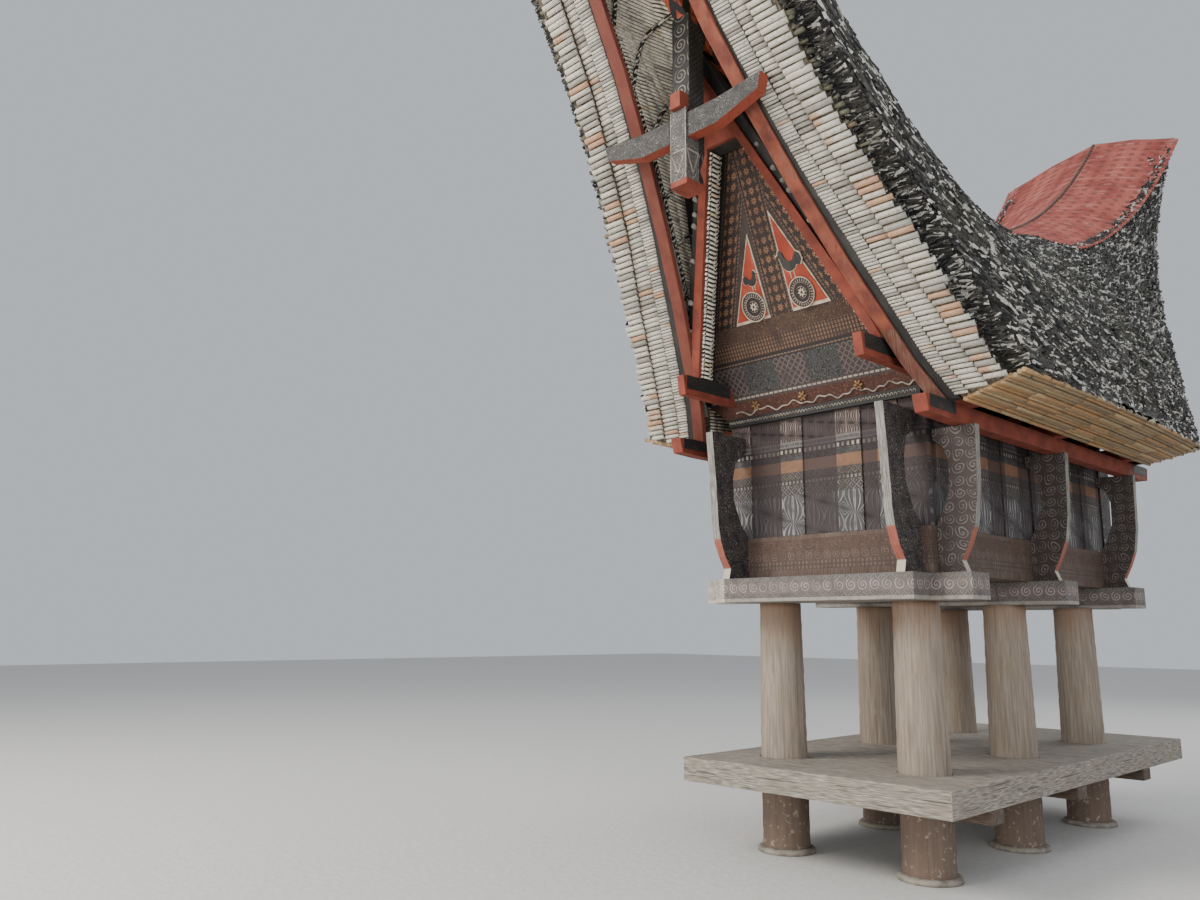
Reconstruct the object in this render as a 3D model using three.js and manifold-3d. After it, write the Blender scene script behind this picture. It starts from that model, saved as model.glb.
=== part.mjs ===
// Tongkonan-form rice barn on six round posts, with an open sitting deck and a saddle roof.
// Millimetres, +Z up, ground at z = 0. The long side runs along Y and the front gable faces -Y.
import * as THREE from 'three';
import { mergeVertices } from 'three/addons/utils/BufferGeometryUtils.js';
import Module from 'manifold-3d';

const wasm = await Module();
wasm.setup();

// Posts
const POST_X = 550;
const POST_ROWS = [-1342, 0, 1342];
const POST_R_FOOT = 168;
const POST_R_TOP = 152;
const POST_RING_R = 205;
const POST_RING_H = 34;

// Sitting deck
const DECK_X = 1020;
const DECK_FRONT = -1917;
const DECK_REAR = 2260;
const DECK_TOP = 646;
const DECK_EDGE_BOTTOM = 481;
const DECK_BEAM_BOTTOM = 392;
const DECK_PLANK_BOTTOM = 601;
const DECK_EDGE_T = 50;
const DECK_BEAM_W = 160;

// Sill beams and walls
const SILL_BOTTOM = 1745;
const SILL_TOP = 1915;
const SILL_X = 1060;
const SILL_ROWS = [-1450, 0, 1450];
const SILL_W = 240;
const NOSE_Y = 1800;
const NOSE_X = 790;
const WALL_X = 800;
const WALL_Y = 1560;
const WALL_T = 42;
const PLINTH_TOP = 2222;
const SIDE_WALL_TOP = 2960;
const END_WALL_TOP = 3085;

// Eave beams, ties and purlins
const EAVE_X_IN = 950;
const EAVE_X_OUT = 1046;
const EAVE_BOTTOM = 2860;
const EAVE_TOP = 2980;
const EAVE_END_Y = 1970;
const TIE_W = 120;
const TIE_ROWS = [-1440, 0, 1440];
const PURLIN_X_IN = 700;
const PURLIN_X_OUT = 765;
const PURLIN_BOTTOM = 3234;
const PURLIN_TOP = 3380;
const PURLIN_END_Y = 2215;

// Leaning gable
const GABLE_FOOT_Y = 1580;
const GABLE_FOOT_Z = 3150;
const GABLE_LEAN = 0.505;
const GABLE_T = 45;
const GABLE_OUTLINE = [[800, 3120], [990, 3300], [912, 3500], [846, 3700], [786, 3900], [732, 4100], [674, 4300],
  [619, 4500], [567, 4700], [520, 4900], [455, 5150]];

// Inverted V of rafters that stands on the purlins in front of the gable
const FRAME_FOOT_Y = 2090;
const FRAME_FOOT_Z = 3500;
const FRAME_LEAN = 0.42;
const FRAME_INNER = [0.43, 5070];
const FRAME_FACE = [0.447, 5200];
const FRAME_OUTER = [0.44, 5370];
const FRAME_NOTCH_Z = 4790;
const FRAME_CLEAR_Z = 3750;
const FRAME_DEPTH = 150;
const FACE_T = 30;

// Saddle roof: half sections from eave to ridge at the middle and in the leaning end plane
const VERGE_Y = 1735;
const VERGE_Z = 3000;
const VERGE_LEAN = 0.665;
const OUTER_MID = [[1600, 3080], [1520, 3350], [1400, 3620], [1280, 3860], [1160, 4080],
  [1040, 4280], [930, 4460], [830, 4600], [750, 4720], [400, 4960], [0, 5120]];
const OUTER_END = [[1550, 3080], [1400, 3550], [1250, 4100], [1120, 4600], [1020, 5100],
  [950, 5700], [930, 6300], [925, 6800], [920, 7150], [480, 7370], [0, 7520]];
const INNER_MID = [[1130, 2980], [1020, 3220], [940, 3400], [860, 3580], [780, 3760],
  [690, 3950], [600, 4120], [520, 4270], [440, 4400], [160, 4540], [0, 4540]];
const INNER_END = [[1130, 2980], [1020, 3220], [820, 3850], [700, 4300], [600, 4750],
  [520, 5200], [470, 5700], [440, 6200], [420, 6650], [160, 6930], [0, 6930]];
const LAYER_ENDS = [0, 0.14, 0.33, 0.54, 0.68];
const THATCH_SETBACK = [[2900, 170], [4000, 170], [5000, 160], [5700, 150], [6400, 100], [7150, 15], [7700, -40]];
const TUFT_H = 26;
const TUFT_PARTS = 3;
const LAYER_STEP = 0.008;
const LAYER_GAP = 0.001;
const SAMPLES = 14;
const VERGE_RAFTER_W = 80;
const VERGE_RAFTER_T = 55;
const BARGE_INSET = 8 + VERGE_RAFTER_W + 0.3;
const BARGE_W = 97;
const BARGE_T = 45;
const COLLAR_Z = 6170;
const COLLAR_H = 90;
const POLE_W = 105;
const POLE_H = 170;
const KING_W = 145;
const CAP_START = 0.33;
const CAP_DROP = [70, -30];

const slot = (name, hex, roughness, metalness = 0) => new THREE.MeshStandardMaterial({
  name, color: new THREE.Color(hex), roughness, metalness,
});
const woodPost = slot('weathered_post', 0x6f6257, 0.75);
const woodDeck = slot('deck_boards', 0x7a6f66, 0.8);
const woodCarved = slot('carved_wood', 0x3b302c, 0.7);
const woodDark = slot('blackened_wood', 0x24201e, 0.6);
const woodGrey = slot('weathered_board', 0x84807a, 0.8);
const redPaint = slot('red_painted_wood', 0xa84a30, 0.6);
const bamboo = slot('split_bamboo', 0xada492, 0.75);
const thatch = slot('old_thatch', 0x3a3835, 0.95);
const sheet = slot('corrugated_sheet', 0xa9554b, 0.55, 0.3);

const house = new THREE.Group();
house.name = 'rice_barn';

function add(name, geometry, material) {
  const mesh = new THREE.Mesh(geometry, material);
  mesh.name = name;
  house.add(mesh);
  return mesh;
}

function plain(geometry) {
  const bare = geometry.index ? geometry.toNonIndexed() : geometry;
  bare.deleteAttribute('normal');
  bare.deleteAttribute('uv');
  return mergeVertices(bare, 1e-4);
}

function solid(geometry) {
  const bare = plain(geometry);
  return new wasm.Manifold(new wasm.Mesh({
    numProp: 3,
    vertProperties: new Float32Array(bare.attributes.position.array),
    triVerts: new Uint32Array(bare.index.array),
  }));
}

function surface(body) {
  const mesh = body.getMesh();
  const geometry = new THREE.BufferGeometry();
  geometry.setAttribute('position', new THREE.BufferAttribute(new Float32Array(mesh.vertProperties), 3));
  geometry.setIndex(Array.from(mesh.triVerts));
  return geometry;
}

function box(x0, x1, y0, y1, z0, z1) {
  const geometry = new THREE.BoxGeometry(x1 - x0, y1 - y0, z1 - z0);
  geometry.translate((x0 + x1) / 2, (y0 + y1) / 2, (z0 + z1) / 2);
  return geometry;
}

function join(geometries) {
  return surface(geometries.map(solid).reduce((sum, next) => sum.add(next)));
}

function cut(geometry, tools) {
  return surface(tools.map(solid).reduce((rest, tool) => rest.subtract(tool), solid(geometry)));
}

// Flat outline in X and Z, thickened along Y between two planes
function slabXZ(points, y0, y1) {
  const shape = new THREE.Shape(points.map(([x, z]) => new THREE.Vector2(x, z)));
  const geometry = new THREE.ExtrudeGeometry(shape, { depth: y1 - y0, bevelEnabled: false });
  geometry.rotateX(Math.PI / 2);
  geometry.translate(0, y1, 0);
  return geometry;
}

// Flat outline in Y and Z, thickened along X between two planes
function slabYZ(points, x0, x1) {
  const shape = new THREE.Shape(points.map(([y, z]) => new THREE.Vector2(y, z)));
  const geometry = new THREE.ExtrudeGeometry(shape, { depth: x1 - x0, bevelEnabled: false });
  geometry.rotateX(Math.PI / 2);
  geometry.rotateZ(Math.PI / 2);
  geometry.translate(x0, 0, 0);
  return geometry;
}

// The left half of an outline, in order after its right half
function mirrored(points) {
  return points.map(([x, z]) => [-x, z]).reverse();
}

// Turned round form standing at a point
function turned(profile, x, y, segments = 28) {
  const points = profile.map(([r, z]) => new THREE.Vector2(r, z));
  const geometry = new THREE.LatheGeometry(points, segments);
  geometry.rotateX(Math.PI / 2);
  geometry.translate(x, y, 0);
  return geometry;
}

// Mirror through the plane y = 0, for the rear copy of a front piece
function rearCopy(geometry) {
  const copy = plain(geometry.clone());
  copy.scale(1, -1, 1);
  const index = copy.index.array;
  for (let i = 0; i < index.length; i += 3) {
    [index[i], index[i + 1]] = [index[i + 1], index[i]];
  }
  return copy;
}

// Mirror through the plane x = 0, for the left copy of a right piece
function leftCopy(geometry) {
  const copy = plain(geometry.clone());
  copy.scale(-1, 1, 1);
  const index = copy.index.array;
  for (let i = 0; i < index.length; i += 3) {
    [index[i], index[i + 1]] = [index[i + 1], index[i]];
  }
  return copy;
}

// Posts
function deckBeamSpan(row) {
  return [POST_ROWS[row] - DECK_BEAM_W / 2, POST_ROWS[row] + DECK_BEAM_W / 2];
}

function postGeometry(x, y, row) {
  const profile = [[0, 0], [POST_RING_R, 0], [POST_RING_R - 8, POST_RING_H], [POST_R_FOOT, POST_RING_H + 8],
    [POST_R_FOOT - 2, 700], [POST_R_TOP, SILL_BOTTOM], [0, SILL_BOTTOM]];
  const [y0, y1] = deckBeamSpan(row);
  const mortise = box(x - 400, x + 400, y0 - 0.3, y1 + 0.3, DECK_BEAM_BOTTOM - 0.3, DECK_PLANK_BOTTOM + 0.3);
  return cut(turned(profile, x, y), [mortise]);
}

const ROW_NAMES = ['front', 'mid', 'rear'];
ROW_NAMES.forEach((label, row) => {
  for (const [side, sign] of [['left', -1], ['right', 1]]) {
    add(`post_${label}_${side}`, postGeometry(sign * POST_X, POST_ROWS[row], row), woodPost);
  }
});

// Sitting deck
function deckFloor() {
  const x = DECK_X - DECK_EDGE_T;
  const tools = [];
  for (const y of POST_ROWS) {
    for (const sign of [-1, 1]) {
      const r = POST_R_FOOT + 6;
      const ring = [[0, 500], [r, 500], [r, 700], [0, 700]];
      tools.push(turned(ring, sign * POST_X, y, 24));
    }
  }
  for (let y = DECK_FRONT + 260; y < DECK_REAR - 150; y += 215) {
    tools.push(box(-2000, 2000, y - 4, y + 4, DECK_TOP - 12, DECK_TOP + 50));
  }
  const plate = box(-x, x, DECK_FRONT + DECK_EDGE_T, DECK_REAR - DECK_EDGE_T, DECK_PLANK_BOTTOM, DECK_TOP);
  return cut(plate, tools);
}

function deckEdge() {
  const t = DECK_EDGE_T;
  const ring = box(-DECK_X, DECK_X, DECK_FRONT, DECK_REAR, DECK_EDGE_BOTTOM, DECK_TOP);
  const inner = box(-DECK_X + t, DECK_X - t, DECK_FRONT + t, DECK_REAR - t, DECK_EDGE_BOTTOM - 9, DECK_TOP + 9);
  return cut(ring, [inner]);
}

function deckBeam(row) {
  const [y0, y1] = deckBeamSpan(row);
  const x = DECK_X - DECK_EDGE_T;
  const outline = [[-DECK_X, DECK_BEAM_BOTTOM], [DECK_X, DECK_BEAM_BOTTOM], [DECK_X, DECK_EDGE_BOTTOM],
    [x, DECK_EDGE_BOTTOM], [x, DECK_PLANK_BOTTOM], [-x, DECK_PLANK_BOTTOM], [-x, DECK_EDGE_BOTTOM],
    [-DECK_X, DECK_EDGE_BOTTOM]];
  return slabXZ(outline, y0, y1);
}

add('deck_floor', deckFloor(), woodDeck);
ROW_NAMES.forEach((label, row) => add(`deck_beam_${label}`, deckBeam(row), woodDeck));
add('deck_edge', deckEdge(), woodDeck);

// Sill beams: three across on the posts, joined to a nose board at each end
function sillBeam(row) {
  const y = SILL_ROWS[row];
  const bar = box(-SILL_X, SILL_X, y - SILL_W / 2, y + SILL_W / 2, SILL_BOTTOM, SILL_TOP);
  if (row === 1) return bar;
  const s = Math.sign(y);
  const ends = [s * NOSE_Y, y].sort((p, q) => p - q);
  return join([bar, box(-NOSE_X, NOSE_X, ends[0], ends[1], SILL_BOTTOM, SILL_TOP)]);
}

ROW_NAMES.forEach((label, row) => add(`sill_beam_${label}`, sillBeam(row), woodCarved));

// Store body
function plinthFrame() {
  const ring = box(-WALL_X, WALL_X, -WALL_Y, WALL_Y, SILL_TOP, PLINTH_TOP);
  const inner = box(-WALL_X + 60, WALL_X - 60, -WALL_Y + 60, WALL_Y - 60, SILL_TOP - 10, PLINTH_TOP + 10);
  return cut(ring, [inner]);
}

// Boards side by side, every second one standing a little proud
function endWall() {
  const edges = [-WALL_X, -625, -352, -159, 123, 322, 444, 605, WALL_X];
  const parts = [box(-WALL_X, WALL_X, -WALL_Y + 12, -WALL_Y + 12 + WALL_T, PLINTH_TOP, END_WALL_TOP)];
  for (let i = 0; i < edges.length - 1; i += 2) {
    parts.push(box(edges[i], edges[i + 1], -WALL_Y, -WALL_Y + 30, PLINTH_TOP, END_WALL_TOP));
  }
  return join(parts);
}

function sideWall() {
  const y = WALL_Y - 12 - WALL_T;
  const parts = [box(WALL_X - 12 - WALL_T, WALL_X - 12, -y, y, PLINTH_TOP, SIDE_WALL_TOP)];
  for (let i = 0; i < 6; i += 1) {
    const y0 = -y + i * (2 * y / 6) + 60;
    parts.push(box(WALL_X - 30, WALL_X, y0, y0 + 280, PLINTH_TOP, SIDE_WALL_TOP));
  }
  return join(parts);
}

add('plinth_frame', plinthFrame(), woodCarved);
add('store_floor', box(-WALL_X + 61, WALL_X - 61, -WALL_Y + 61, WALL_Y - 61, SILL_TOP, SILL_TOP + 32), woodPost);
add('wall_front', endWall(), woodCarved);
add('wall_rear', rearCopy(endWall()), woodCarved);
add('wall_right', sideWall(), woodCarved);
add('wall_left', leftCopy(sideWall()), woodCarved);

// Curved fins standing on the sill beams
const FIN_T = 62;
const END_FIN_X = 700;

function endFin(x) {
  const outline = [[-1790, SILL_TOP], [-1770, 1990], [-1835, 2080], [-1880, 2190], [-1902, 2300],
    [-1925, 2630], [-1960, 2990], [-WALL_Y, 2990], [-WALL_Y, 2880], [-1690, 2790], [-1725, 2660],
    [-1720, 2500], [-1640, 2330], [-WALL_Y, 2230], [-WALL_Y, SILL_TOP]];
  return slabYZ(outline, x - FIN_T / 2, x + FIN_T / 2);
}

function sideFin(y) {
  const outline = [[WALL_X, SILL_TOP], [990, SILL_TOP], [960, 1990], [1010, 2090], [1060, 2220],
    [1085, 2400], [1100, 2860], [WALL_X, 2860], [WALL_X, 2790], [870, 2740], [905, 2640],
    [900, 2450], [850, 2310], [WALL_X, 2225]];
  return slabXZ(outline, y - FIN_T / 2, y + FIN_T / 2);
}

for (const [side, sign] of [['left', -1], ['right', 1]]) {
  add(`fin_front_${side}`, endFin(sign * END_FIN_X), woodCarved);
  add(`fin_rear_${side}`, rearCopy(endFin(sign * END_FIN_X)), woodCarved);
  ROW_NAMES.forEach((label, row) => {
    const fin = sideFin(SILL_ROWS[row]);
    add(`side_fin_${label}_${side}`, sign > 0 ? fin : leftCopy(fin), woodCarved);
  });
}

// Eave beams and ties that carry the roof
function eaveBeam() {
  const outline = [[-EAVE_END_Y, EAVE_BOTTOM + 10], [-1750, EAVE_BOTTOM], [1750, EAVE_BOTTOM],
    [EAVE_END_Y, EAVE_BOTTOM + 10], [EAVE_END_Y + 30, EAVE_TOP], [-EAVE_END_Y - 30, EAVE_TOP]];
  return slabYZ(outline, EAVE_X_IN, EAVE_X_OUT);
}

const ROOF_LINE = (INNER_MID[0][0] - INNER_MID[1][0]) / (INNER_MID[1][1] - INNER_MID[0][1]);

// Tie across the body, with ends cut to the slope of the roof
function tieBeam(y) {
  const foot = INNER_MID[0][0] - 0.3;
  const head = foot - ROOF_LINE * (END_WALL_TOP - EAVE_TOP);
  const outline = [[-EAVE_X_IN, EAVE_TOP - 20], [EAVE_X_IN, EAVE_TOP - 20], [EAVE_X_IN, EAVE_TOP], [foot, EAVE_TOP],
    [head, END_WALL_TOP], [-head, END_WALL_TOP], [-foot, EAVE_TOP], [-EAVE_X_IN, EAVE_TOP]];
  return slabXZ(outline, y - TIE_W / 2, y + TIE_W / 2);
}

function eaveFrame() {
  const beams = [eaveBeam(), leftCopy(eaveBeam())];
  return join([...beams, ...TIE_ROWS.map(tieBeam)]);
}

function purlin() {
  const parts = [slabYZ([[-PURLIN_END_Y, PURLIN_BOTTOM], [PURLIN_END_Y, PURLIN_BOTTOM],
    [PURLIN_END_Y + 25, PURLIN_TOP], [-PURLIN_END_Y - 25, PURLIN_TOP]], PURLIN_X_IN, PURLIN_X_OUT)];
  for (const y of TIE_ROWS) {
    parts.push(box(PURLIN_X_IN, PURLIN_X_OUT, y - 50, y + 50, END_WALL_TOP, PURLIN_BOTTOM + 20));
  }
  return join(parts);
}

add('eave_frame', eaveFrame(), redPaint);
add('purlin_right', purlin(), redPaint);
add('purlin_left', leftCopy(purlin()), redPaint);

// Leaning gable with its moulding
function gableY(z) {
  return -GABLE_FOOT_Y - GABLE_LEAN * (z - GABLE_FOOT_Z);
}

// Flat outline in X and Z laid on the leaning gable plane, thickened backward
function leaning(outline, thickness, planeY) {
  const shape = new THREE.Shape(outline.map(([x, z]) => new THREE.Vector2(x, z)));
  const geometry = new THREE.ExtrudeGeometry(shape, { depth: thickness, bevelEnabled: false });
  const spot = geometry.attributes.position;
  for (let i = 0; i < spot.count; i += 1) {
    const [x, z, back] = [spot.getX(i), spot.getY(i), thickness - spot.getZ(i)];
    spot.setXYZ(i, x, planeY(z) + back, z);
  }
  return plain(geometry);
}

function gablePanel() {
  const outline = [...GABLE_OUTLINE, ...mirrored(GABLE_OUTLINE)];
  const moulding = box(-WALL_X, WALL_X, -GABLE_FOOT_Y - 15, -GABLE_FOOT_Y + 80, END_WALL_TOP, GABLE_FOOT_Z);
  const [x0, x1, z0, z1] = [PURLIN_X_IN - 0.3, PURLIN_X_OUT + 0.3, PURLIN_BOTTOM - 0.3, PURLIN_TOP + 0.3];
  const holes = [[x0, x1], [-x1, -x0]].map(([a, b]) => box(a, b, -2500, -1000, z0, z1));
  return cut(join([leaning(outline, GABLE_T, gableY), moulding]), holes);
}

function frameY(z) {
  return -FRAME_FOOT_Y - FRAME_LEAN * (z - FRAME_FOOT_Z);
}

// Inner edge of the barge board beside the feet of the V
function bargeInner(z) {
  const [[w0, z0], [w1, z1]] = [INNER_END[1], INNER_END[2]];
  return w0 + (w1 - w0) * (z - z0) / (z1 - z0) - BARGE_INSET - BARGE_W - 1;
}

// Inverted V between two raking edges, each given as slope and apex height
function rakingFrame([outerRate, outerApex], depth, planeY) {
  const foot = PURLIN_TOP;
  const outer = (z) => outerRate * (outerApex - z);
  const [rate, apex] = FRAME_INNER;
  const side = [foot, 3617, FRAME_CLEAR_Z].map((z) => [Math.min(outer(z), bargeInner(z)), z]);
  if (outer(FRAME_CLEAR_Z) > bargeInner(FRAME_CLEAR_Z)) side.push([outer(FRAME_CLEAR_Z), FRAME_CLEAR_Z]);
  const right = [[rate * (apex - FRAME_NOTCH_Z), FRAME_NOTCH_Z], [rate * (apex - foot), foot], ...side];
  const outline = [...right, [0, outerApex], ...mirrored(right)];
  return leaning(outline, depth, planeY);
}

add('gable_front', gablePanel(), woodCarved);
add('gable_rear', rearCopy(gablePanel()), woodCarved);

// Saddle roof
function vergeY(z) {
  return VERGE_Y + VERGE_LEAN * (z - VERGE_Z);
}

// Point of the roof at depth 0 (ceiling) to 1 (outer face), step i of the half section, station v
function roofPoint(depth, i, v) {
  const mix = (a, b, t) => a + (b - a) * t;
  const read = (table, k) => mix(table[Math.floor(i)][k], table[Math.ceil(i)][k], i % 1);
  const mid = [0, 1].map((k) => mix(read(INNER_MID, k), read(OUTER_MID, k), depth));
  const end = [0, 1].map((k) => mix(read(INNER_END, k), read(OUTER_END, k), depth));
  const w = mix(mid[0], end[0], v * v);
  const z = mix(mid[1], end[1], v * v);
  return [w, v * vergeY(end[1]), z];
}

const LAST = OUTER_MID.length - 1;
const STATIONS = (() => {
  const list = [];
  for (let k = 0; k <= LAYER_ENDS.length; k += 1) list.push(1 - LAYER_STEP * k);
  for (let k = 1; k < SAMPLES / 2; k += 1) list.push(k * 0.95 / (SAMPLES / 2));
  list.push(0);
  const all = new Set(list.flatMap((v) => [v, -v]).map((v) => Number(v.toFixed(6)) + 0));
  return Array.from(all).sort((a, b) => a - b);
})();

// Closed band between two depths of the roof, eave to eave over the ridge
function roofBand(depth0, depth1, reach) {
  const stations = STATIONS.filter((v) => Math.abs(v) <= reach + 1e-9);
  const loop = [];
  for (let i = -LAST; i <= LAST; i += 1) loop.push([depth1, LAST - Math.abs(i), i < 0 ? -1 : 1]);
  for (let i = LAST; i >= -LAST; i -= 1) loop.push([depth0, LAST - Math.abs(i), i < 0 ? -1 : 1]);
  const rows = stations.map((v) => loop.map(([depth, i, sign]) => {
    const [w, y, z] = roofPoint(depth, i, v);
    return [sign * w, y, z];
  }));
  return loft(rows);
}

// Closed body through equal loops of points, with flat fans of quads at both ends
function loft(rows) {
  const n = rows[0].length;
  const position = rows.flat(2);
  const index = [];
  for (let r = 0; r < rows.length - 1; r += 1) {
    for (let i = 0; i < n; i += 1) {
      const a = r * n + i;
      const b = r * n + (i + 1) % n;
      if (i < n / 2) index.push(a, b, a + n, b, b + n, a + n);
      else index.push(a, b, b + n, a, b + n, a + n);
    }
  }
  const end = (rows.length - 1) * n;
  for (let i = 0; i < n / 2 - 1; i += 1) {
    const [a, b, c, d] = [i, i + 1, n - 2 - i, n - 1 - i];
    index.push(a, c, b, a, d, c);
    index.push(end + a, end + b, end + c, end + a, end + c, end + d);
  }
  const geometry = new THREE.BufferGeometry();
  geometry.setAttribute('position', new THREE.Float32BufferAttribute(position, 3));
  geometry.setIndex(index);
  return plain(geometry);
}

// Stations of the tufted face: those of the roof, with more between the wide ones
const TUFT_STATIONS = STATIONS.flatMap((v, r) => {
  const next = STATIONS[r + 1] ?? v;
  const parts = next - v > 0.05 ? TUFT_PARTS : 1;
  return Array.from({ length: parts }, (_, k) => v + (next - v) * k / parts);
});

// Height of the tuft at a half step across, 0 on the ridge, and a station along the roof
function tuftHeight(column, row) {
  const v = TUFT_STATIONS[row];
  const bedded = v > CAP_START && Math.abs(column) <= 4;
  if (Math.abs(column) === 2 * LAST || Math.abs(v) > 0.965 || bedded) return 0;
  const across = column + 2 * LAST;
  return TUFT_H * ((across * 73 + row * 151 + across * row * 37) % 101) / 100;
}

// Point of the thatch's outer face, raised by its tuft
function thatchPoint(column, row) {
  const [w, y, z] = roofPoint(1, LAST - Math.abs(column) / 2, TUFT_STATIONS[row]);
  const lean = 0.85 * Math.min(1, Math.abs(column) / 4);
  const lift = tuftHeight(column, row);
  return [Math.sign(column) * (w + lean * lift), y, z + Math.sqrt(1 - lean * lean) * lift];
}

// Triangles between two edges side by side, each given as vertex numbers and their places
function zip(index, [p, placeP], [q, placeQ], flip) {
  let [i, j] = [0, 0];
  while (i < p.length - 1 || j < q.length - 1) {
    const first = j === q.length - 1 || (i < p.length - 1 && placeP[i + 1] <= placeQ[j + 1]);
    const triangle = first ? [p[i], q[j], p[i + 1]] : [p[i], q[j], q[j + 1]];
    index.push(...(flip ? triangle.reverse() : triangle));
    if (first) i += 1;
    else j += 1;
  }
}

// Thatch with a tufted outer face on the plain face that lies on the bamboo
function thatchBlank() {
  const count = (n) => Array.from({ length: n }, (_, k) => k);
  const [wide, narrow] = [count(4 * LAST + 1), count(2 * LAST + 1)];
  const outer = TUFT_STATIONS.flatMap((v, row) => wide.map((k) => thatchPoint(k - 2 * LAST, row)));
  const inner = STATIONS.flatMap((v) => narrow.map((k) => {
    const [w, y, z] = roofPoint(LAYER_ENDS.at(-1), LAST - Math.abs(k - LAST), v);
    return [Math.sign(k - LAST) * w, y, z];
  }));
  const up = (row, k) => row * wide.length + k;
  const low = (row, k) => outer.length + row * narrow.length + k;
  const index = [];
  for (let r = 0; r < TUFT_STATIONS.length - 1; r += 1) {
    for (let k = 0; k < wide.length - 1; k += 1) {
      index.push(up(r, k), up(r, k + 1), up(r + 1, k), up(r, k + 1), up(r + 1, k + 1), up(r + 1, k));
    }
  }
  for (let r = 0; r < STATIONS.length - 1; r += 1) {
    for (let k = 0; k < narrow.length - 1; k += 1) {
      index.push(low(r, k + 1), low(r, k), low(r + 1, k), low(r, k + 1), low(r + 1, k), low(r + 1, k + 1));
    }
  }
  for (const [k, j, flip] of [[0, 0, true], [wide.length - 1, narrow.length - 1, false]]) {
    const upper = [TUFT_STATIONS.map((v, row) => up(row, k)), TUFT_STATIONS];
    zip(index, upper, [STATIONS.map((v, row) => low(row, j)), STATIONS], flip);
  }
  for (const [r, s, flip] of [[0, 0, false], [TUFT_STATIONS.length - 1, STATIONS.length - 1, true]]) {
    zip(index, [wide.map((k) => up(r, k)), wide.map((k) => k / 2)], [narrow.map((k) => low(s, k)), narrow], flip);
  }
  const geometry = new THREE.BufferGeometry();
  geometry.setAttribute('position', new THREE.Float32BufferAttribute([...outer, ...inner].flat(), 3));
  geometry.setIndex(index);
  return plain(geometry);
}

// Thatch stands back from the bamboo at both ends, and meets it again at the tips
function thatchBand() {
  const edge = THATCH_SETBACK.map(([z, back]) => [-(vergeY(z) - back), z]);
  const ahead = [...edge, [-7000, 7700], [-7000, 2900]];
  const trim = slabYZ(ahead, -2500, 2500);
  return cut(thatchBlank(), [trim, rearCopy(trim)]);
}

for (let k = 1; k < LAYER_ENDS.length; k += 1) {
  const reach = 1 - LAYER_STEP * (LAYER_ENDS.length - 1 - k);
  add(`bamboo_layer_${k}`, roofBand(LAYER_ENDS[k - 1], LAYER_ENDS[k] - LAYER_GAP, reach), bamboo);
}
add('thatch', thatchBand(), thatch);

// Curved boards that line the leaning ends, tied left to right by a collar near the tip
function vergeFrame(inset, width, thickness, collarZ, planeY) {
  const top = collarZ + COLLAR_H;
  const outer = INNER_END.filter(([, z]) => z < top).map(([w, z]) => [w - inset, z]);
  outer[0][1] = EAVE_TOP;
  const inner = outer.filter(([, z]) => z < collarZ).map(([w, z]) => [w - width, z]).reverse();
  const [w, z] = outer.at(-1);
  outer.push([w - 0.06 * (top - z), top]);
  inner.unshift([inner[0][0] - 2, collarZ]);
  return leaning([...outer, ...mirrored(outer), ...mirrored(inner), ...inner], thickness, planeY);
}

const vergeBlank = vergeFrame(8, VERGE_RAFTER_W, VERGE_RAFTER_T, COLLAR_Z, (z) => -vergeY(z) + 10);
const vergeRafters = cut(vergeBlank, [ridgePole(0.3, 0.3)]);
const bargeBoards = vergeFrame(BARGE_INSET, BARGE_W, BARGE_T, COLLAR_Z - 95, (z) => -vergeY(z) - 15);
add('verge_rafters_front', vergeRafters, woodDark);
add('verge_rafters_rear', rearCopy(vergeRafters), woodDark);
add('barge_boards_front', bargeBoards, redPaint);
add('barge_boards_rear', rearCopy(bargeBoards), redPaint);

// Pole under the ridge, and the hung king posts with their cross beams
function ridgePole(drop, room = 0) {
  const stations = STATIONS.filter((v) => Math.abs(v) <= 0.961);
  const half = POLE_W / 2 + room;
  const rows = stations.map((v) => {
    const [, y, z] = roofPoint(0, LAST, v);
    const [top, low] = [z - drop, z - POLE_H - room];
    return [[-half, y, top], [half, y, top], [half, y, low], [-half, y, low]];
  });
  return loft(rows);
}

function kingPost(y, beamZ, footZ, halfSpan) {
  const w = KING_W / 2;
  const levels = [[footZ, 0.98], [footZ + 26, 1.02], [footZ + 150, 0.72], [footZ + 250, 1], [beamZ + 1600, 1]];
  const rows = levels.map(([z, part]) => [[-1, -1], [1, -1], [1, 1], [-1, 1]].map(([a, b]) =>
    [a * w * part, y + b * w * part, z]));
  const h = halfSpan;
  const outline = [[-h, beamZ + 15], [-h * 0.5, beamZ - 80], [h * 0.5, beamZ - 80], [h, beamZ + 15],
    [h + 25, beamZ + 120], [h * 0.5, beamZ + 85], [-h * 0.5, beamZ + 85], [-h - 25, beamZ + 120]];
  const beam = slabXZ(outline, y - w - 40, y - w + 45);
  return cut(join([stacked(rows), beam]), [ridgeShadow()]);
}

// Closed body through square sections stacked upward
function stacked(rows) {
  const n = 4;
  const index = [0, 2, 1, 0, 3, 2];
  for (let r = 0; r < rows.length - 1; r += 1) {
    for (let i = 0; i < n; i += 1) {
      const [a, b] = [r * n + i, r * n + (i + 1) % n];
      index.push(a, b, b + n, a, b + n, a + n);
    }
  }
  const top = (rows.length - 1) * n;
  index.push(top, top + 1, top + 2, top, top + 2, top + 3);
  const geometry = new THREE.BufferGeometry();
  geometry.setAttribute('position', new THREE.Float32BufferAttribute(rows.flat(2), 3));
  geometry.setIndex(index);
  return plain(geometry);
}

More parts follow.
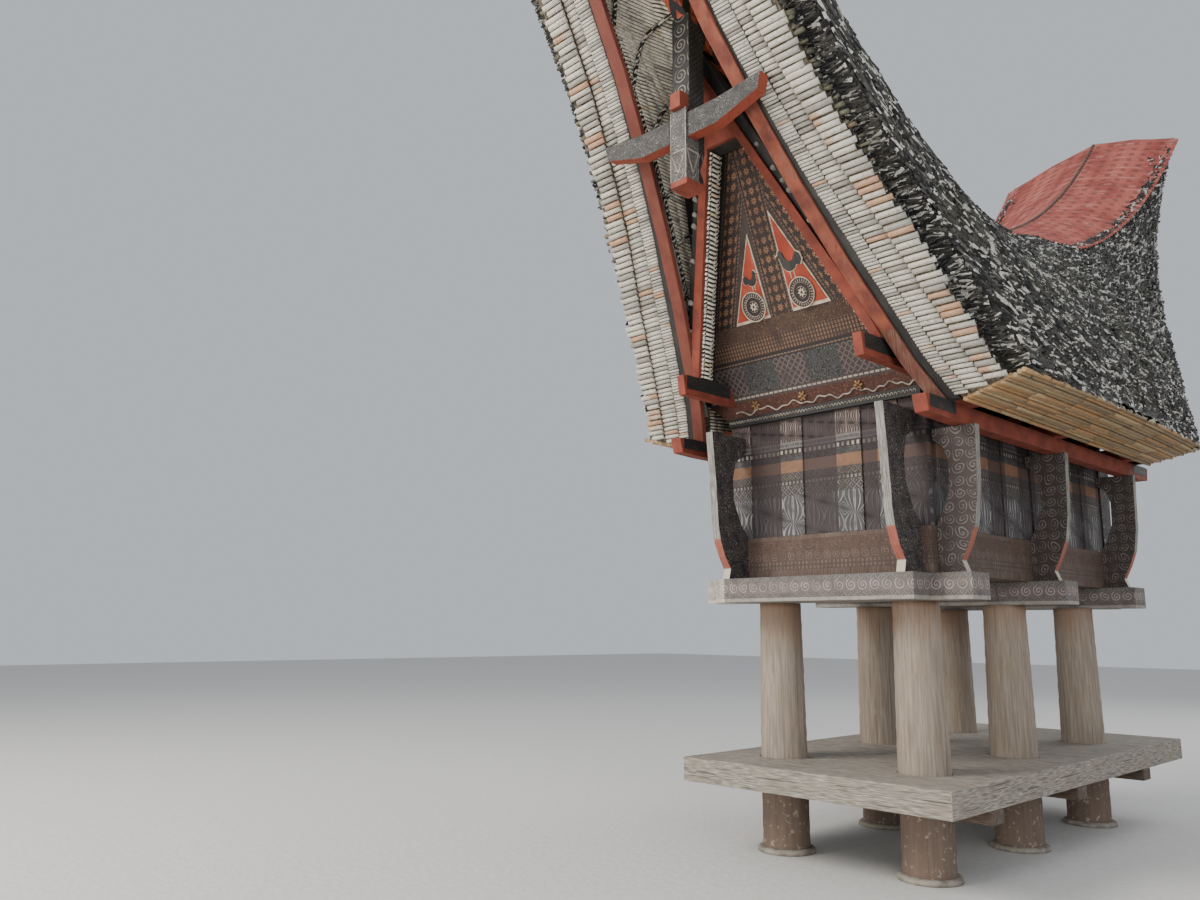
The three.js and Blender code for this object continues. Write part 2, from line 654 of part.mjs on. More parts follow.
// Everything above the underside of the ridge pole
function ridgeShadow() {
  const rows = STATIONS.filter((v) => Math.abs(v) <= 0.961).map((v) => {
    const [, y, z] = roofPoint(0, LAST, v);
    const low = z - POLE_H - 0.3;
    return [[-400, y, low + 2500], [400, y, low + 2500], [400, y, low], [-400, y, low]];
  });
  return loft(rows);
}

add('ridge_pole', ridgePole(0.3), redPaint);
const frameBlank = rakingFrame(FRAME_OUTER, FRAME_DEPTH - FACE_T, (z) => frameY(z) + FACE_T);
const frameCore = cut(frameBlank, [ridgeShadow()]);
const frameFace = rakingFrame(FRAME_FACE, FACE_T - 0.3, frameY);
add('gable_rafters_front', frameCore, woodDark);
add('gable_rafters_rear', rearCopy(frameCore), woodDark);
add('gable_facing_front', frameFace, redPaint);
add('gable_facing_rear', rearCopy(frameFace), redPaint);
add('king_post_front', kingPost(-2960, 4715, 4320, 640), woodGrey);
add('king_post_rear', rearCopy(kingPost(-2960, 4715, 4320, 640)), woodGrey);
add('king_post_front_outer', kingPost(-3670, 5830, 5545, 540), woodGrey);
add('king_post_rear_outer', rearCopy(kingPost(-3670, 5830, 5545, 540)), woodGrey);

// Corrugated sheet folded over the rear half of the ridge
function ridgeCap() {
  const rows = STATIONS.filter((v) => v > CAP_START).map((v) => {
    const right = [LAST, LAST - 1, LAST - 2].map((i) => roofPoint(1, i, v));
    const [w, y, z] = right[2];
    right.push([w + CAP_DROP[0], y + v * VERGE_LEAN * CAP_DROP[1], z + CAP_DROP[1]]);
    const across = [...right.slice(1).reverse().map(([a, b, c]) => [-a, b, c]), ...right];
    const top = across.map(([a, b, c]) => [a, b, c + 24]);
    const low = across.map(([a, b, c]) => [a, b, c + 1]).reverse();
    return [...top, ...low];
  });
  return loft(rows);
}

// Folded board panel that closes the roof's tip
function tipCap() {
  const outline = [[0, 7556], [935, 7186], [930, 6890], [0, 6985], [-930, 6890], [-935, 7186]];
  return leaning(outline, 30, (z) => -vergeY(z) - 30.5);
}

add('ridge_cap', ridgeCap(), sheet);
add('tip_cap_front', tipCap(), woodGrey);
add('tip_cap_rear', rearCopy(tipCap()), woodGrey);

export default house;
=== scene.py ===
"""Looks of a tongkonan: a carved timber house on round posts under a boat-shaped roof."""
from __future__ import annotations

import logging
import math
from dataclasses import dataclass, field, replace
from enum import Enum
from typing import Callable, Sequence

import bmesh
import bpy
import numpy as np
from mathutils import Matrix, Vector


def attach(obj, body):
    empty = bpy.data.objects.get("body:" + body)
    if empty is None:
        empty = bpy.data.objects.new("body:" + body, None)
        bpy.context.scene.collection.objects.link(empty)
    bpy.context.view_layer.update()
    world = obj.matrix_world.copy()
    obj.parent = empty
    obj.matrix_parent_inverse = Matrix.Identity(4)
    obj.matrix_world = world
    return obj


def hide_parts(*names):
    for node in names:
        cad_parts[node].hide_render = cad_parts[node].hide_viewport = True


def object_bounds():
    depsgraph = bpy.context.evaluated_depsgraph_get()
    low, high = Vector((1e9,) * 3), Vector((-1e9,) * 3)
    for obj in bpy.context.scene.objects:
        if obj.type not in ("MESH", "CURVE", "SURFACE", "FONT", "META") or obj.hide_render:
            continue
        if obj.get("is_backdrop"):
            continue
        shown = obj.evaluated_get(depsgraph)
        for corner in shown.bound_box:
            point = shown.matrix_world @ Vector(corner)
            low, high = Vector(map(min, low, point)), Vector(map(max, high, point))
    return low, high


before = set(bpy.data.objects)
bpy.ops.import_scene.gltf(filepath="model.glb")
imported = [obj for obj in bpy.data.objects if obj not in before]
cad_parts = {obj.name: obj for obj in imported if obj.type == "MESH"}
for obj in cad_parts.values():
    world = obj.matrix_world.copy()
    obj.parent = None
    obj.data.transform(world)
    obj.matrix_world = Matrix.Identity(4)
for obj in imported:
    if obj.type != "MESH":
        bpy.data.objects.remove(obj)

LOG = logging.getLogger("tongkonan")
Colour = tuple[float, float, float, float]
Point = Sequence[float]
Grain = Callable[[Vector], Vector]
ENDS = SIDES = (-1, 1)
Material, Mesh = bpy.types.Material, bpy.types.Mesh
END_NAMES = ("front", "rear")
ROW_NAMES = ("front", "mid", "rear")
SIDE_NAMES = ("left", "right")
SAME_SPOT = 2e-5
FLAT_ANGLE, SHARP_ANGLE = math.radians(1.0), math.radians(28)
SOFFIT_SLOPE, END_SLOPE, END_PLACE, THIN_SLOPE = -0.35, 0.8, 0.5, 0.9
LEAST_CROSS = 0.35
INSIDE = 1e-4


def rgb(red: int, green: int, blue: int) -> Colour:
    """Linear colour from three display values of 0 to 255."""
    linear = [c / 3294.6 if c < 10 else ((c / 255 + 0.055) / 1.055) ** 2.4 for c in (red, green, blue)]
    return (linear[0], linear[1], linear[2], 1.0)


CREAM = rgb(206, 190, 168)
TERRACOTTA = rgb(152, 70, 48)
BLACK = rgb(28, 25, 24)


class Motif(Enum):
    """Carved patterns of the house."""

    PLAIN = "plain"
    SCROLLS = "scrolls"
    LEAVES = "leaves"
    CURLS = "curls"
    WEAVE = "weave"
    SQUARES = "squares"
    DASHES = "dashes"
    STARS = "stars"
    KNOTS = "knots"
    STUDS = "studs"


class Value:
    """A number or colour that varies over a surface, with Python's operators for numbers."""

    def __init__(self, paint: Paint, socket: bpy.types.NodeSocket) -> None:
        """Wraps one output socket."""
        self.paint = paint
        self.socket = socket

    def __add__(self, other: Value | float) -> Value:
        """Sum."""
        return self.paint.maths("ADD", self, other)

    def __sub__(self, other: Value | float) -> Value:
        """Difference."""
        return self.paint.maths("SUBTRACT", self, other)

    def __rsub__(self, other: Value | float) -> Value:
        """Difference from a number."""
        return self.paint.maths("SUBTRACT", other, self)

    def __mul__(self, other: Value | float) -> Value:
        """Product."""
        return self.paint.maths("MULTIPLY", self, other)

    def __truediv__(self, other: Value | float) -> Value:
        """Quotient."""
        return self.paint.maths("DIVIDE", self, other)

    def __mod__(self, other: Value | float) -> Value:
        """Remainder, never negative."""
        return self.paint.maths("FLOORED_MODULO", self, other)

    def __pow__(self, other: Value | float) -> Value:
        """Power."""
        return self.paint.maths("POWER", self, other)

    def __abs__(self) -> Value:
        """Absolute value."""
        return self.paint.maths("ABSOLUTE", self)

    __radd__ = __add__
    __rmul__ = __mul__

    def sine(self) -> Value:
        """Sine of an angle in radians."""
        return self.paint.maths("SINE", self)

    def least(self, other: Value | float) -> Value:
        """The smaller of two values."""
        return self.paint.maths("MINIMUM", self, other)

    def most(self, other: Value | float) -> Value:
        """The larger of two values."""
        return self.paint.maths("MAXIMUM", self, other)

    def rise(self, low: float, high: float) -> Value:
        """Smooth step from 0 at low to 1 at high, or falling where low is the larger."""
        inputs = {0: self, 1: low, 2: high, 3: 0.0, 4: 1.0}
        return self.paint.node("MapRange", {"interpolation_type": "SMOOTHSTEP"}, inputs)

    def within(self, low: float, high: float, blur: float = 0.002) -> Value:
        """1 between two limits and 0 outside."""
        return self.rise(low - blur, low + blur) * self.rise(high + blur, high - blur)

    def cell(self, pitch: float) -> Value:
        """Place inside a repeat of the given pitch, from -0.5 to 0.5."""
        return (self / pitch) % 1.0 - 0.5


@dataclass(frozen=True)
class Band:
    """One level of carving between two heights, with its pattern and two colours."""

    low: float
    high: float
    motif: Motif
    pitch: float
    line: Colour
    ground: Colour


class Paint:
    """One procedural material while it is being made."""

    band_blur = 0.0015

    def __init__(self, name: str) -> None:
        """Starts a material with a Principled shader and its output.

        Args:
            name: name of the material.
        """
        self.material = bpy.data.materials.new(name)
        self.material.use_nodes = True
        self.tree = self.material.node_tree
        self.tree.nodes.clear()
        self.shader = self.tree.nodes.new("ShaderNodeBsdfPrincipled")
        output = self.tree.nodes.new("ShaderNodeOutputMaterial")
        self.tree.links.new(self.shader.outputs[0], output.inputs[0])

    def node(self, kind: str, settings: dict | None = None, inputs: dict | None = None,
             out: int | str = 0) -> Value:
        """Adds one node.

        Args:
            kind: node type without its ShaderNode prefix.
            settings: properties, which are set first.
            inputs: values or links by socket index or name.
            out: index or name of the output that is wanted.

        Returns:
            The wrapped output.
        """
        made = self.tree.nodes.new("ShaderNode" + kind)
        for key, setting in (settings or {}).items():
            setattr(made, key, setting)
        for key, given in (inputs or {}).items():
            if isinstance(given, Value):
                self.tree.links.new(given.socket, made.inputs[key])
            else:
                made.inputs[key].default_value = given
        return Value(self, made.outputs[out])

    def maths(self, operation: str, *values: Value | float) -> Value:
        """Adds one Math node on up to three values."""
        return self.node("Math", {"operation": operation}, dict(enumerate(values)))

    def mix(self, share: Value | float, first: Value | Colour, second: Value | Colour) -> Value:
        """Mixes two colours by a share of the second."""
        return self.node("Mix", {"data_type": "RGBA"}, {0: share, 6: first, 7: second}, 2)

    def place(self) -> tuple[Value, Value, Value]:
        """X, Y and Z on the house, in metres."""
        where = self.node("TexCoord", {}, {}, "Object")
        return self.split(where)

    def split(self, vector: Value) -> tuple[Value, Value, Value]:
        """The three parts of a vector.

        Args:
            vector: the vector.

        Returns:
            Its X, Y and Z.
        """
        node = self.tree.nodes.new("ShaderNodeSeparateXYZ")
        self.tree.links.new(vector.socket, node.inputs[0])
        return Value(self, node.outputs[0]), Value(self, node.outputs[1]), Value(self, node.outputs[2])

    def grain(self) -> tuple[Value, Value]:
        """Distance along and across the grain, in metres, from the piece's own map."""
        along, across, _ = self.split(self.node("UVMap", {"uv_map": "grain"}))
        return along, across

    def attribute(self, name: str) -> Value:
        """A number kept on the piece under a name."""
        return self.node("Attribute", {"attribute_name": name}, {}, "Fac")

    def vector(self, x: Value | float, y: Value | float, z: Value | float = 0.0) -> Value:
        """Joins three numbers into a vector."""
        return self.node("CombineXYZ", {}, {0: x, 1: y, 2: z})

    def noise(self, place: Sequence[Value | float], scale: float, detail: float = 2.0,
              rough: float = 0.5) -> Value:
        """Soft noise around 0.5 at a place given by two or three parts."""
        inputs = {"Vector": self.vector(*place), "Scale": scale, "Detail": detail, "Roughness": rough}
        return self.node("TexNoise", {}, inputs)

    def done(self, colour: Value, rough: float, relief: Value, depth: float, metal: float = 0.0) -> Material:
        """Connects the shader.

        Args:
            colour: base colour.
            rough: roughness.
            relief: height of 0 to 1 for the bump.
            depth: height in metres that a relief of 1 stands for.
            metal: metallic share.

        Returns:
            The finished material.
        """
        self.tree.links.new(colour.socket, self.shader.inputs["Base Color"])
        self.shader.inputs["Roughness"].default_value = rough
        self.shader.inputs["Metallic"].default_value = metal
        bump = self.node("Bump", {}, {"Strength": 1.0, "Distance": depth, "Height": relief})
        self.tree.links.new(bump.socket, self.shader.inputs["Normal"])
        return self.material

    def motif(self, motif: Motif, u: Value, v: Value, pitch: float) -> Value:
        """Line mask of a carved pattern.

        Args:
            motif: which pattern.
            u: place along the row in metres.
            v: height above the row's foot in metres.
            pitch: size of one repeat in metres.

        Returns:
            1 on the pale lines and 0 on the ground between them.
        """
        if motif is Motif.PLAIN:
            return u * 0.0
        cu, cv = u.cell(pitch), v.cell(pitch)
        radius = (cu * cu + cv * cv) ** 0.5
        if motif is Motif.SCROLLS:
            angle = self.maths("ARCTAN2", cv, cu) / math.tau
            spiral = (radius * 4.2 + angle) % 1.0
            return spiral.within(0.0, 0.4, 0.08) * radius.rise(0.5, 0.46)
        if motif is Motif.LEAVES:
            swell = abs((v * (math.pi / (pitch * 1.3)) + u * 5.0).sine()) * 0.36 + 0.12
            nested = (abs(cu) / swell * 2.2) % 1.0
            return nested.within(0.0, 0.36, 0.12)
        if motif is Motif.CURLS:
            cloud = self.noise((u, v), 1.1 / pitch, 0.6)
            return ((cloud * 9.0) % 1.0).within(0.0, 0.4, 0.12)
        if motif is Motif.WEAVE:
            one, two = ((u + v) / pitch) % 1.0, ((u - v) / pitch) % 1.0
            chequer = abs(((u / pitch / 2) % 1.0).rise(0.45, 0.55) - ((v / pitch / 2) % 1.0).rise(0.45, 0.55))
            mixed = one * chequer + two * (1 - chequer)
            return mixed.within(0.0, 0.42, 0.1)
        if motif is Motif.SQUARES:
            return abs(cu).rise(0.3, 0.24) * abs(cv).rise(0.4, 0.34)
        if motif is Motif.DASHES:
            return abs(cu).rise(0.42, 0.36) * abs(cv).rise(0.2, 0.14)
        if motif is Motif.STARS:
            angle = self.maths("ARCTAN2", cv, cu)
            reach = (angle * 8.0).sine() * 0.1 + 0.33
            return (radius / reach).rise(1.1, 0.9) * radius.rise(0.06, 0.1)
        if motif is Motif.KNOTS:
            one = abs((u + v + (v * 41.0).sine() * 0.006).cell(pitch)).rise(0.12, 0.05)
            two = abs((u - v + (u * 37.0).sine() * 0.008).cell(pitch)).rise(0.12, 0.05)
            ring = abs(radius - 0.36).rise(0.08, 0.03)
            return one.most(two).most(ring)
        return radius.rise(0.26, 0.18)

    def bands(self, base: Value | Colour, u: Value, v: Value, bands: Sequence[Band],
              wear: Value) -> tuple[Value, Value]:
        """Lays levels of carving over a base colour.

        Args:
            base: colour where there is no carving.
            u: place along the bands.
            v: height.
            bands: the levels.
            wear: share of each line's paint that is left.

        Returns:
            The colour, and the relief of 0 to 1.
        """
        colour, relief = base, u * 0.0
        for band in bands:
            inside = v.within(band.low, band.high, self.band_blur)
            line = self.motif(band.motif, u, v - band.low, band.pitch)
            tint = self.mix(line * wear, band.ground, band.line)
            colour = self.mix(inside, colour, tint)
            relief = relief + inside * line
        return colour, relief

    def timber(self, along: Value, across: Value, pale: Colour, dark: Colour,
               tint: Colour) -> tuple[Value, Value]:
        """Grain, cracks and stains of old timber.

        Args:
            along: distance along the grain.
            across: distance across it.
            pale: colour of the wood between the grain lines.
            dark: colour of the grain lines.
            tint: colour of the weathered patches.

        Returns:
            The colour, and the relief of 0 to 1.
        """
        fine = self.noise((along * 0.07, across), 150.0, 3.0)
        broad = self.noise((along * 0.2, across), 16.0, 3.0)
        patch = self.noise((along, across), 5.0, 3.0)
        crack = self.noise((along * 0.05, across), 55.0, 1.0).rise(0.63, 0.7)
        colour = self.mix(fine.rise(0.35, 0.7), dark, pale)
        colour = self.mix(patch.rise(0.45, 0.75) * 0.7, colour, tint)
        colour = self.mix(broad.rise(0.55, 0.3) * 0.35, colour, dark)
        colour = self.mix(crack * 0.58, colour, rgb(40, 33, 28))
        return colour, fine * 0.5 + broad * 0.3 - crack * 0.8


@dataclass(frozen=True)
class OldTimber:
    """Plain weathered timber."""

    name: str
    pale: Colour
    dark: Colour
    tint: Colour
    rough: float = 0.82
    depth: float = 0.002

    def material(self) -> Material:
        """Builds the material and returns it."""
        paint = Paint(self.name)
        along, across = paint.grain()
        colour, relief = paint.timber(along, across, self.pale, self.dark, self.tint)
        return paint.done(colour, self.rough, relief, self.depth)


@dataclass(frozen=True)
class PaintedTimber:
    """Timber with old paint that has worn to the wood in places; on the barge boards the left side also gets
    painted shade.
    """

    name: str
    paint_colour: Colour
    shade: Colour
    bare: Colour
    worn: float = 0.35
    barge: bool = False

    def material(self) -> Material:
        """Builds the material and returns it."""
        paint = Paint(self.name)
        along, across = paint.grain()
        wood, relief = paint.timber(along, across, self.bare, self.shade, self.bare)
        streak = paint.noise((along * 0.25, across), 45.0, 4.0)
        patch = paint.noise((along, across), 7.0, 3.0)
        tone = paint.mix(patch.rise(0.3, 0.7), self.shade, self.paint_colour)
        share = (streak * 0.6 + patch * 0.4).rise(0.5 + (0.35 - self.worn) * 0.4, 0.72) * self.worn * 2.2
        colour = paint.mix(share.least(1.0), tone, wood)
        if self.barge:
            x, _, z = paint.place()
            # Barge boards: painted shade darkens the left board (x below 0); below z 3.4 the right board
            # turns to bare wood, which is real weathering.
            colour = paint.mix(x.rise(0.01, -0.01) * 0.6, colour, self.shade)
            colour = paint.mix(z.rise(3.43, 3.4) * x.rise(-0.01, 0.01) * 0.8, colour, wood)
        return paint.done(colour, 0.8, relief * 0.5 + streak * 0.3, 0.0015)


@dataclass(frozen=True)
class PostTimber:
    """Round posts, grey-brown below and warm brown towards the top, where painted shade keeps the brown dark
    under the sills.
    """

    name: str = "post_timber"

    def material(self) -> Material:
        """Builds the material and returns it."""
        paint = Paint(self.name)
        x, y, z = paint.place()
        fibre = paint.noise((x, y, z * 0.05), 75.0, 3.0)
        broad = paint.noise((x, y, z * 0.4), 7.0, 3.0)
        ring = paint.noise((x * 0.15, y * 0.15, z), 14.0, 3.0)
        colour = paint.mix(fibre.rise(0.25, 0.78), rgb(124, 111, 98), rgb(158, 145, 130))
        colour = paint.mix(broad.rise(0.42, 0.7) * 0.5, colour, rgb(136, 118, 100))
        # Warm brown towards the top: the wood's own brown, kept dark there as painted shade under the sills.
        warm = (z + broad * 0.4).rise(1.6, 2.0) * 0.6
        colour = paint.mix(warm, colour, rgb(132, 96, 72))
        # Darker below the deck's underside, at about 0.65 m, with pale spots in that zone.
        below_deck_dark = (z + ring * 0.1).rise(0.7, 0.6) * 0.75
        colour = paint.mix(below_deck_dark, colour, rgb(96, 76, 64))
        spots = paint.noise((x, y, z), 30.0, 3.0).rise(0.6, 0.68) * below_deck_dark
        colour = paint.mix(spots * 0.8, colour, rgb(170, 156, 140))
        crack = paint.noise((x, y, z * 0.03), 34.0, 1.0).rise(0.64, 0.7)
        colour = paint.mix(crack * 0.22, colour, rgb(72, 60, 52))
        relief = fibre * 0.4 + ring * 0.4 - crack * 0.6
        return paint.done(colour, 0.85, relief, 0.0025)


class Axis(Enum):
    """Which way the carving of a timber runs."""

    ACROSS = 0
    ALONG = 1
    ROUND = 2


@dataclass(frozen=True)
class CarvedTimber:
    """Timber carved in level bands, with pale lines on a dark ground."""

    name: str
    bands: tuple[Band, ...]
    axis: Axis
    pale: Colour = rgb(98, 78, 66)
    dark: Colour = rgb(52, 41, 36)
    tint: Colour = rgb(86, 80, 76)
    dark_boards: tuple[tuple[float, float], ...] = ()
    shade: Colour = rgb(48, 36, 38)
    repeat: float = 0.0
    depth: float = 0.006
    head: float = 0.0

    def material(self) -> Material:
        """Builds the material and returns it."""
        paint = Paint(self.name)
        x, y, z = paint.place()
        run = {Axis.ACROSS: x, Axis.ALONG: y, Axis.ROUND: x + y}[self.axis]
        wood, fibre = paint.timber(z, run, self.pale, self.dark, self.tint)
        wear = paint.noise((x, y, z), 9.0, 3.0).rise(0.2, 0.6) * 0.85
        colour, relief = paint.bands(wood, run, z, self.bands, wear)
        colour = paint.mix(0.22, colour, wood)
        if self.repeat:
            colour = paint.mix(abs(run.cell(self.repeat)).rise(0.24, 0.25) * 0.72, colour, self.shade)
        for low, high in self.dark_boards:
            colour = paint.mix(run.within(low, high) * 0.8, colour, self.shade)
        if self.head:
            colour = paint.mix(x.rise(-self.head, -self.head - 0.004) * 0.5, colour, rgb(214, 204, 190))
        dirt = paint.noise((x, y, z), 22.0, 3.0).rise(0.45, 0.7) * 0.3
        colour = paint.mix(dirt, colour, rgb(60, 52, 48))
        return paint.done(colour, 0.75, relief + fibre * 0.15, self.depth)


@dataclass(frozen=True)
class AllOverCarving:
    """Timber covered in one carved pattern that follows the piece, with plain rims."""

    name: str
    motif: Motif
    pitch: float
    line: Colour
    ground: Colour
    rim: Colour
    rim_painted: bool = False
    depth: float = 0.005

    def material(self) -> Material:
        """Builds the material and returns it."""
        paint = Paint(self.name)
        along, across = paint.grain()
        rim = paint.attribute("rim")
        drift = paint.noise((along, across), 7.0, 2.0) - 0.5
        sway = paint.noise((across, along), 5.0, 2.0) - 0.5
        line = paint.motif(self.motif, along + drift * 0.09, across + sway * 0.07, self.pitch) * (1 - rim)
        wear = paint.noise((along, across), 12.0, 3.0).rise(0.2, 0.6) * 0.9
        wood, fibre = paint.timber(along, across, self.rim, rgb(92, 86, 80), self.rim)
        colour = paint.mix(line * wear, self.ground, self.line)
        colour = paint.mix(rim, colour, wood)
        if self.rim_painted:
            _, _, z = paint.place()
            foot = z.within(1.995, 2.2, 0.003) * rim
            colour = paint.mix(foot * 0.78, colour, TERRACOTTA)
            toe = z.rise(1.995, 1.985) * rim
            colour = paint.mix(toe * 0.8, colour, rgb(190, 180, 160))
        return paint.done(colour, 0.75, line + fibre * 0.15, self.depth)


@dataclass(frozen=True)
class HungPostCarving:
    """Dark scrolled post with finely carved grey cross beams, whose undersides and ends are red."""

    name: str = "hung_post_carving"

    def material(self) -> Material:
        """Builds the material and returns it."""
        paint = Paint(self.name)
        x, y, z = paint.place()
        along, across = paint.grain()
        wear = paint.noise((x, y, z), 12.0, 3.0).rise(0.2, 0.6)
        scroll = paint.motif(Motif.SCROLLS, along, across + 0.055, 0.11)
        chain = paint.motif(Motif.KNOTS, along, across, 0.04)
        fine = paint.motif(Motif.CURLS, along, across, 0.035)
        flank = abs(x).rise(0.070, 0.0718)
        beam = abs(x).rise(0.076, 0.078)
        post = paint.mix(scroll * wear, rgb(34, 31, 30), rgb(126, 118, 106))
        side = paint.mix(chain * wear * 0.35, rgb(28, 26, 26), rgb(110, 106, 100))
        grey = paint.mix(fine * wear, rgb(48, 45, 44), rgb(116, 112, 106))
        colour = paint.mix(beam, paint.mix(flank, post, side), grey)
        colour = paint.mix(paint.attribute("soffit"), colour, rgb(150, 66, 44))
        return paint.done(colour, 0.75, fine * beam + scroll * (1 - flank), 0.004)


@dataclass(frozen=True)
class GableCarving:
    """The leaning gable: star strips, rows of squares and an interlace band on dark wood."""

    name: str = "gable_carving"
    rate: float = 0.522
    apex: float = 5.055

    def material(self) -> Material:
        """Builds the material and returns it."""
        paint = Paint(self.name)
        x, y, z = paint.place()
        ground, orange = rgb(46, 34, 30), rgb(146, 104, 76)
        wood, fibre = paint.timber(z, x, rgb(84, 64, 54), rgb(44, 34, 30), rgb(70, 62, 58))
        wear = paint.noise((x, y, z), 8.0, 3.0).rise(0.15, 0.55) * 0.9
        low = (
            Band(3.0, 3.148, Motif.PLAIN, 0.05, BLACK, BLACK),
            Band(3.148, 3.262, Motif.CURLS, 0.05, rgb(112, 66, 46), rgb(60, 33, 26)),
            Band(3.262, 3.30, Motif.DASHES, 0.042, rgb(170, 156, 144), rgb(64, 54, 50)),
            Band(3.30, 3.505, Motif.KNOTS, 0.052, rgb(108, 96, 90), rgb(58, 47, 46)),
            Band(3.505, 3.545, Motif.DASHES, 0.03, rgb(130, 106, 88), rgb(40, 31, 29)),
            Band(3.545, 3.66, Motif.SQUARES, 0.026, rgb(128, 96, 72), rgb(58, 43, 37)),
            Band(3.66, 3.765, Motif.CURLS, 0.034, rgb(122, 90, 68), rgb(60, 44, 37)),
        )
        colour, relief = paint.bands(wood, x, z, low, wear)
        figures = paint.motif(Motif.CURLS, x, z, 0.06)
        panel = z.within(3.3, 3.505) * abs((x - 0.14).cell(0.54)).rise(0.24, 0.25)
        colour = paint.mix(panel * 0.85, colour,
                           paint.mix(figures * 0.5, rgb(34, 34, 35), rgb(110, 112, 108)))
        edge = (self.apex - z) * self.rate - abs(x)
        left = x + (self.apex - z) * self.rate - 0.085
        right = x - 0.445 + (z - 3.766) * 0.401
        middle = abs(x + 0.064 - (z - 3.767) * 0.067)
        high = z.rise(3.763, 3.767)
        for strip in (left, right, middle):
            star = paint.motif(Motif.STARS, strip + 0.031, z, 0.062)
            dots = paint.motif(Motif.SQUARES, strip, z, 0.024)
            away = abs(strip)
            in_star, in_dots = away.rise(0.062, 0.058) * high, away.rise(0.095, 0.092) * high
            colour = paint.mix(in_dots, colour, paint.mix(dots * wear, BLACK, rgb(112, 84, 70)))
            colour = paint.mix(in_star, colour, paint.mix(star * wear, ground, orange))
            relief = relief + in_star * star
        colour = paint.mix(edge.rise(0.0, -0.004), colour, rgb(36, 32, 30))
        return paint.done(colour, 0.72, relief + fibre * 0.15, 0.006)


@dataclass(frozen=True)
class Bamboo:
    """Split bamboo pieces, each with its own tone."""

    name: str
    pale: Colour = rgb(196, 190, 176)
    grey: Colour = rgb(150, 146, 136)
    warm: Colour = rgb(178, 128, 90)
    warm_share: float = 0.14
    dark: Colour = rgb(96, 86, 74)

    def material(self) -> Material:
        """Builds the material and returns it."""
        paint = Paint(self.name)
        tone = paint.attribute("tone")
        x, y, z = paint.place()
        fibre = paint.noise((x, y, z), 60.0, 2.0)
        patch = paint.noise((x, y, z), 2.2, 3.0)
        colour = paint.mix(tone.rise(0.0, 0.6), self.grey, self.pale)
        edge = 1.0 - self.warm_share
        warm = (tone + (patch - 0.5) * 0.6 + z.rise(5.2, 3.8) * 0.12 - 0.06).rise(edge - 0.02, edge + 0.04)
        colour = paint.mix(warm * 0.8, colour, self.warm)
        colour = paint.mix(fibre.rise(0.5, 0.75) * 0.5, colour, self.dark)
        colour = paint.mix(tone.within(0.3, 0.36, 0.01) * 0.5, colour, self.dark)
        return paint.done(colour, 0.7, fibre, 0.001)


@dataclass(frozen=True)
class Strips:
    """Dark strips of old thatch, with a few near-white ones that stand for glints of light: painted
    highlights.
    """

    name: str = "thatch_strips"

    def material(self) -> Material:
        """Builds the material and returns it."""
        paint = Paint(self.name)
        tone = paint.attribute("tone")
        x, y, z = paint.place()
        patch = paint.noise((x, y, z), 1.6, 3.0)
        fibre = paint.noise((x, y, z), 45.0, 2.0)
        colour = paint.mix(tone.rise(0.1, 0.85), rgb(24, 23, 22), rgb(92, 88, 82))
        # Painted highlights: the top share of strips by tone turns near-white, standing for glints of light
        # on the thatch.
        colour = paint.mix(tone.rise(0.8, 0.86), colour, rgb(208, 204, 194))
        colour = paint.mix(patch.rise(0.52, 0.7) * 0.25, colour, rgb(84, 82, 52))
        colour = paint.mix(fibre.rise(0.4, 0.7) * 0.4, colour, rgb(30, 29, 28))
        return paint.done(colour, 0.8, fibre, 0.002)


@dataclass(frozen=True)
class Underlay:
    """Dark body of bamboo or thatch that shows between the pieces laid on it."""

    name: str
    pale: Colour
    dark: Colour
    scale: float = 40.0

    def material(self) -> Material:
        """Builds the material and returns it."""
        paint = Paint(self.name)
        x, y, z = paint.place()
        mottle = paint.noise((x, y * 0.3, z), self.scale, 4.0, 0.65)
        return paint.done(paint.mix(mottle.rise(0.35, 0.7), self.dark, self.pale), 0.9, mottle, 0.008)


@dataclass(frozen=True)
class RustedSheet:
    """Red painted corrugated sheet with chalky streaks and nail rows."""

    name: str = "rusted_sheet"

    def material(self) -> Material:
        """Builds the material and returns it."""
        paint = Paint(self.name)
        along, across = paint.grain()
        streak = paint.noise((along * 6.0, across * 0.6), 6.0, 4.0)
        patch = paint.noise((along, across), 3.0, 4.0)
        colour = paint.mix(patch.rise(0.3, 0.7), rgb(146, 66, 56), rgb(184, 100, 86))
        colour = paint.mix(streak.rise(0.52, 0.75) * 0.6, colour, rgb(206, 158, 146))
        colour = paint.mix(patch.rise(0.62, 0.8) * 0.4, colour, rgb(112, 62, 50))
        nail = paint.motif(Motif.STUDS, along, across, 0.152) * across.within(0.0, 10.0)
        colour = paint.mix(nail * 0.5, colour, rgb(84, 52, 46))
        return paint.done(colour, 0.6, streak, 0.001, 0.1)


@dataclass(frozen=True)
class BoundBatten:
    """Dark batten bound with pale split cane."""

    name: str = "bound_batten"
    pitch: float = 0.038

    def material(self) -> Material:
        """Builds the material and returns it."""
        paint = Paint(self.name)
        along, across = paint.grain()
        wrap = ((along + across * 0.6) / self.pitch) % 1.0
        bound = wrap.within(0.0, 0.36, 0.05)
        return paint.done(paint.mix(bound, rgb(24, 22, 21), rgb(208, 200, 182)), 0.7, bound, 0.004)


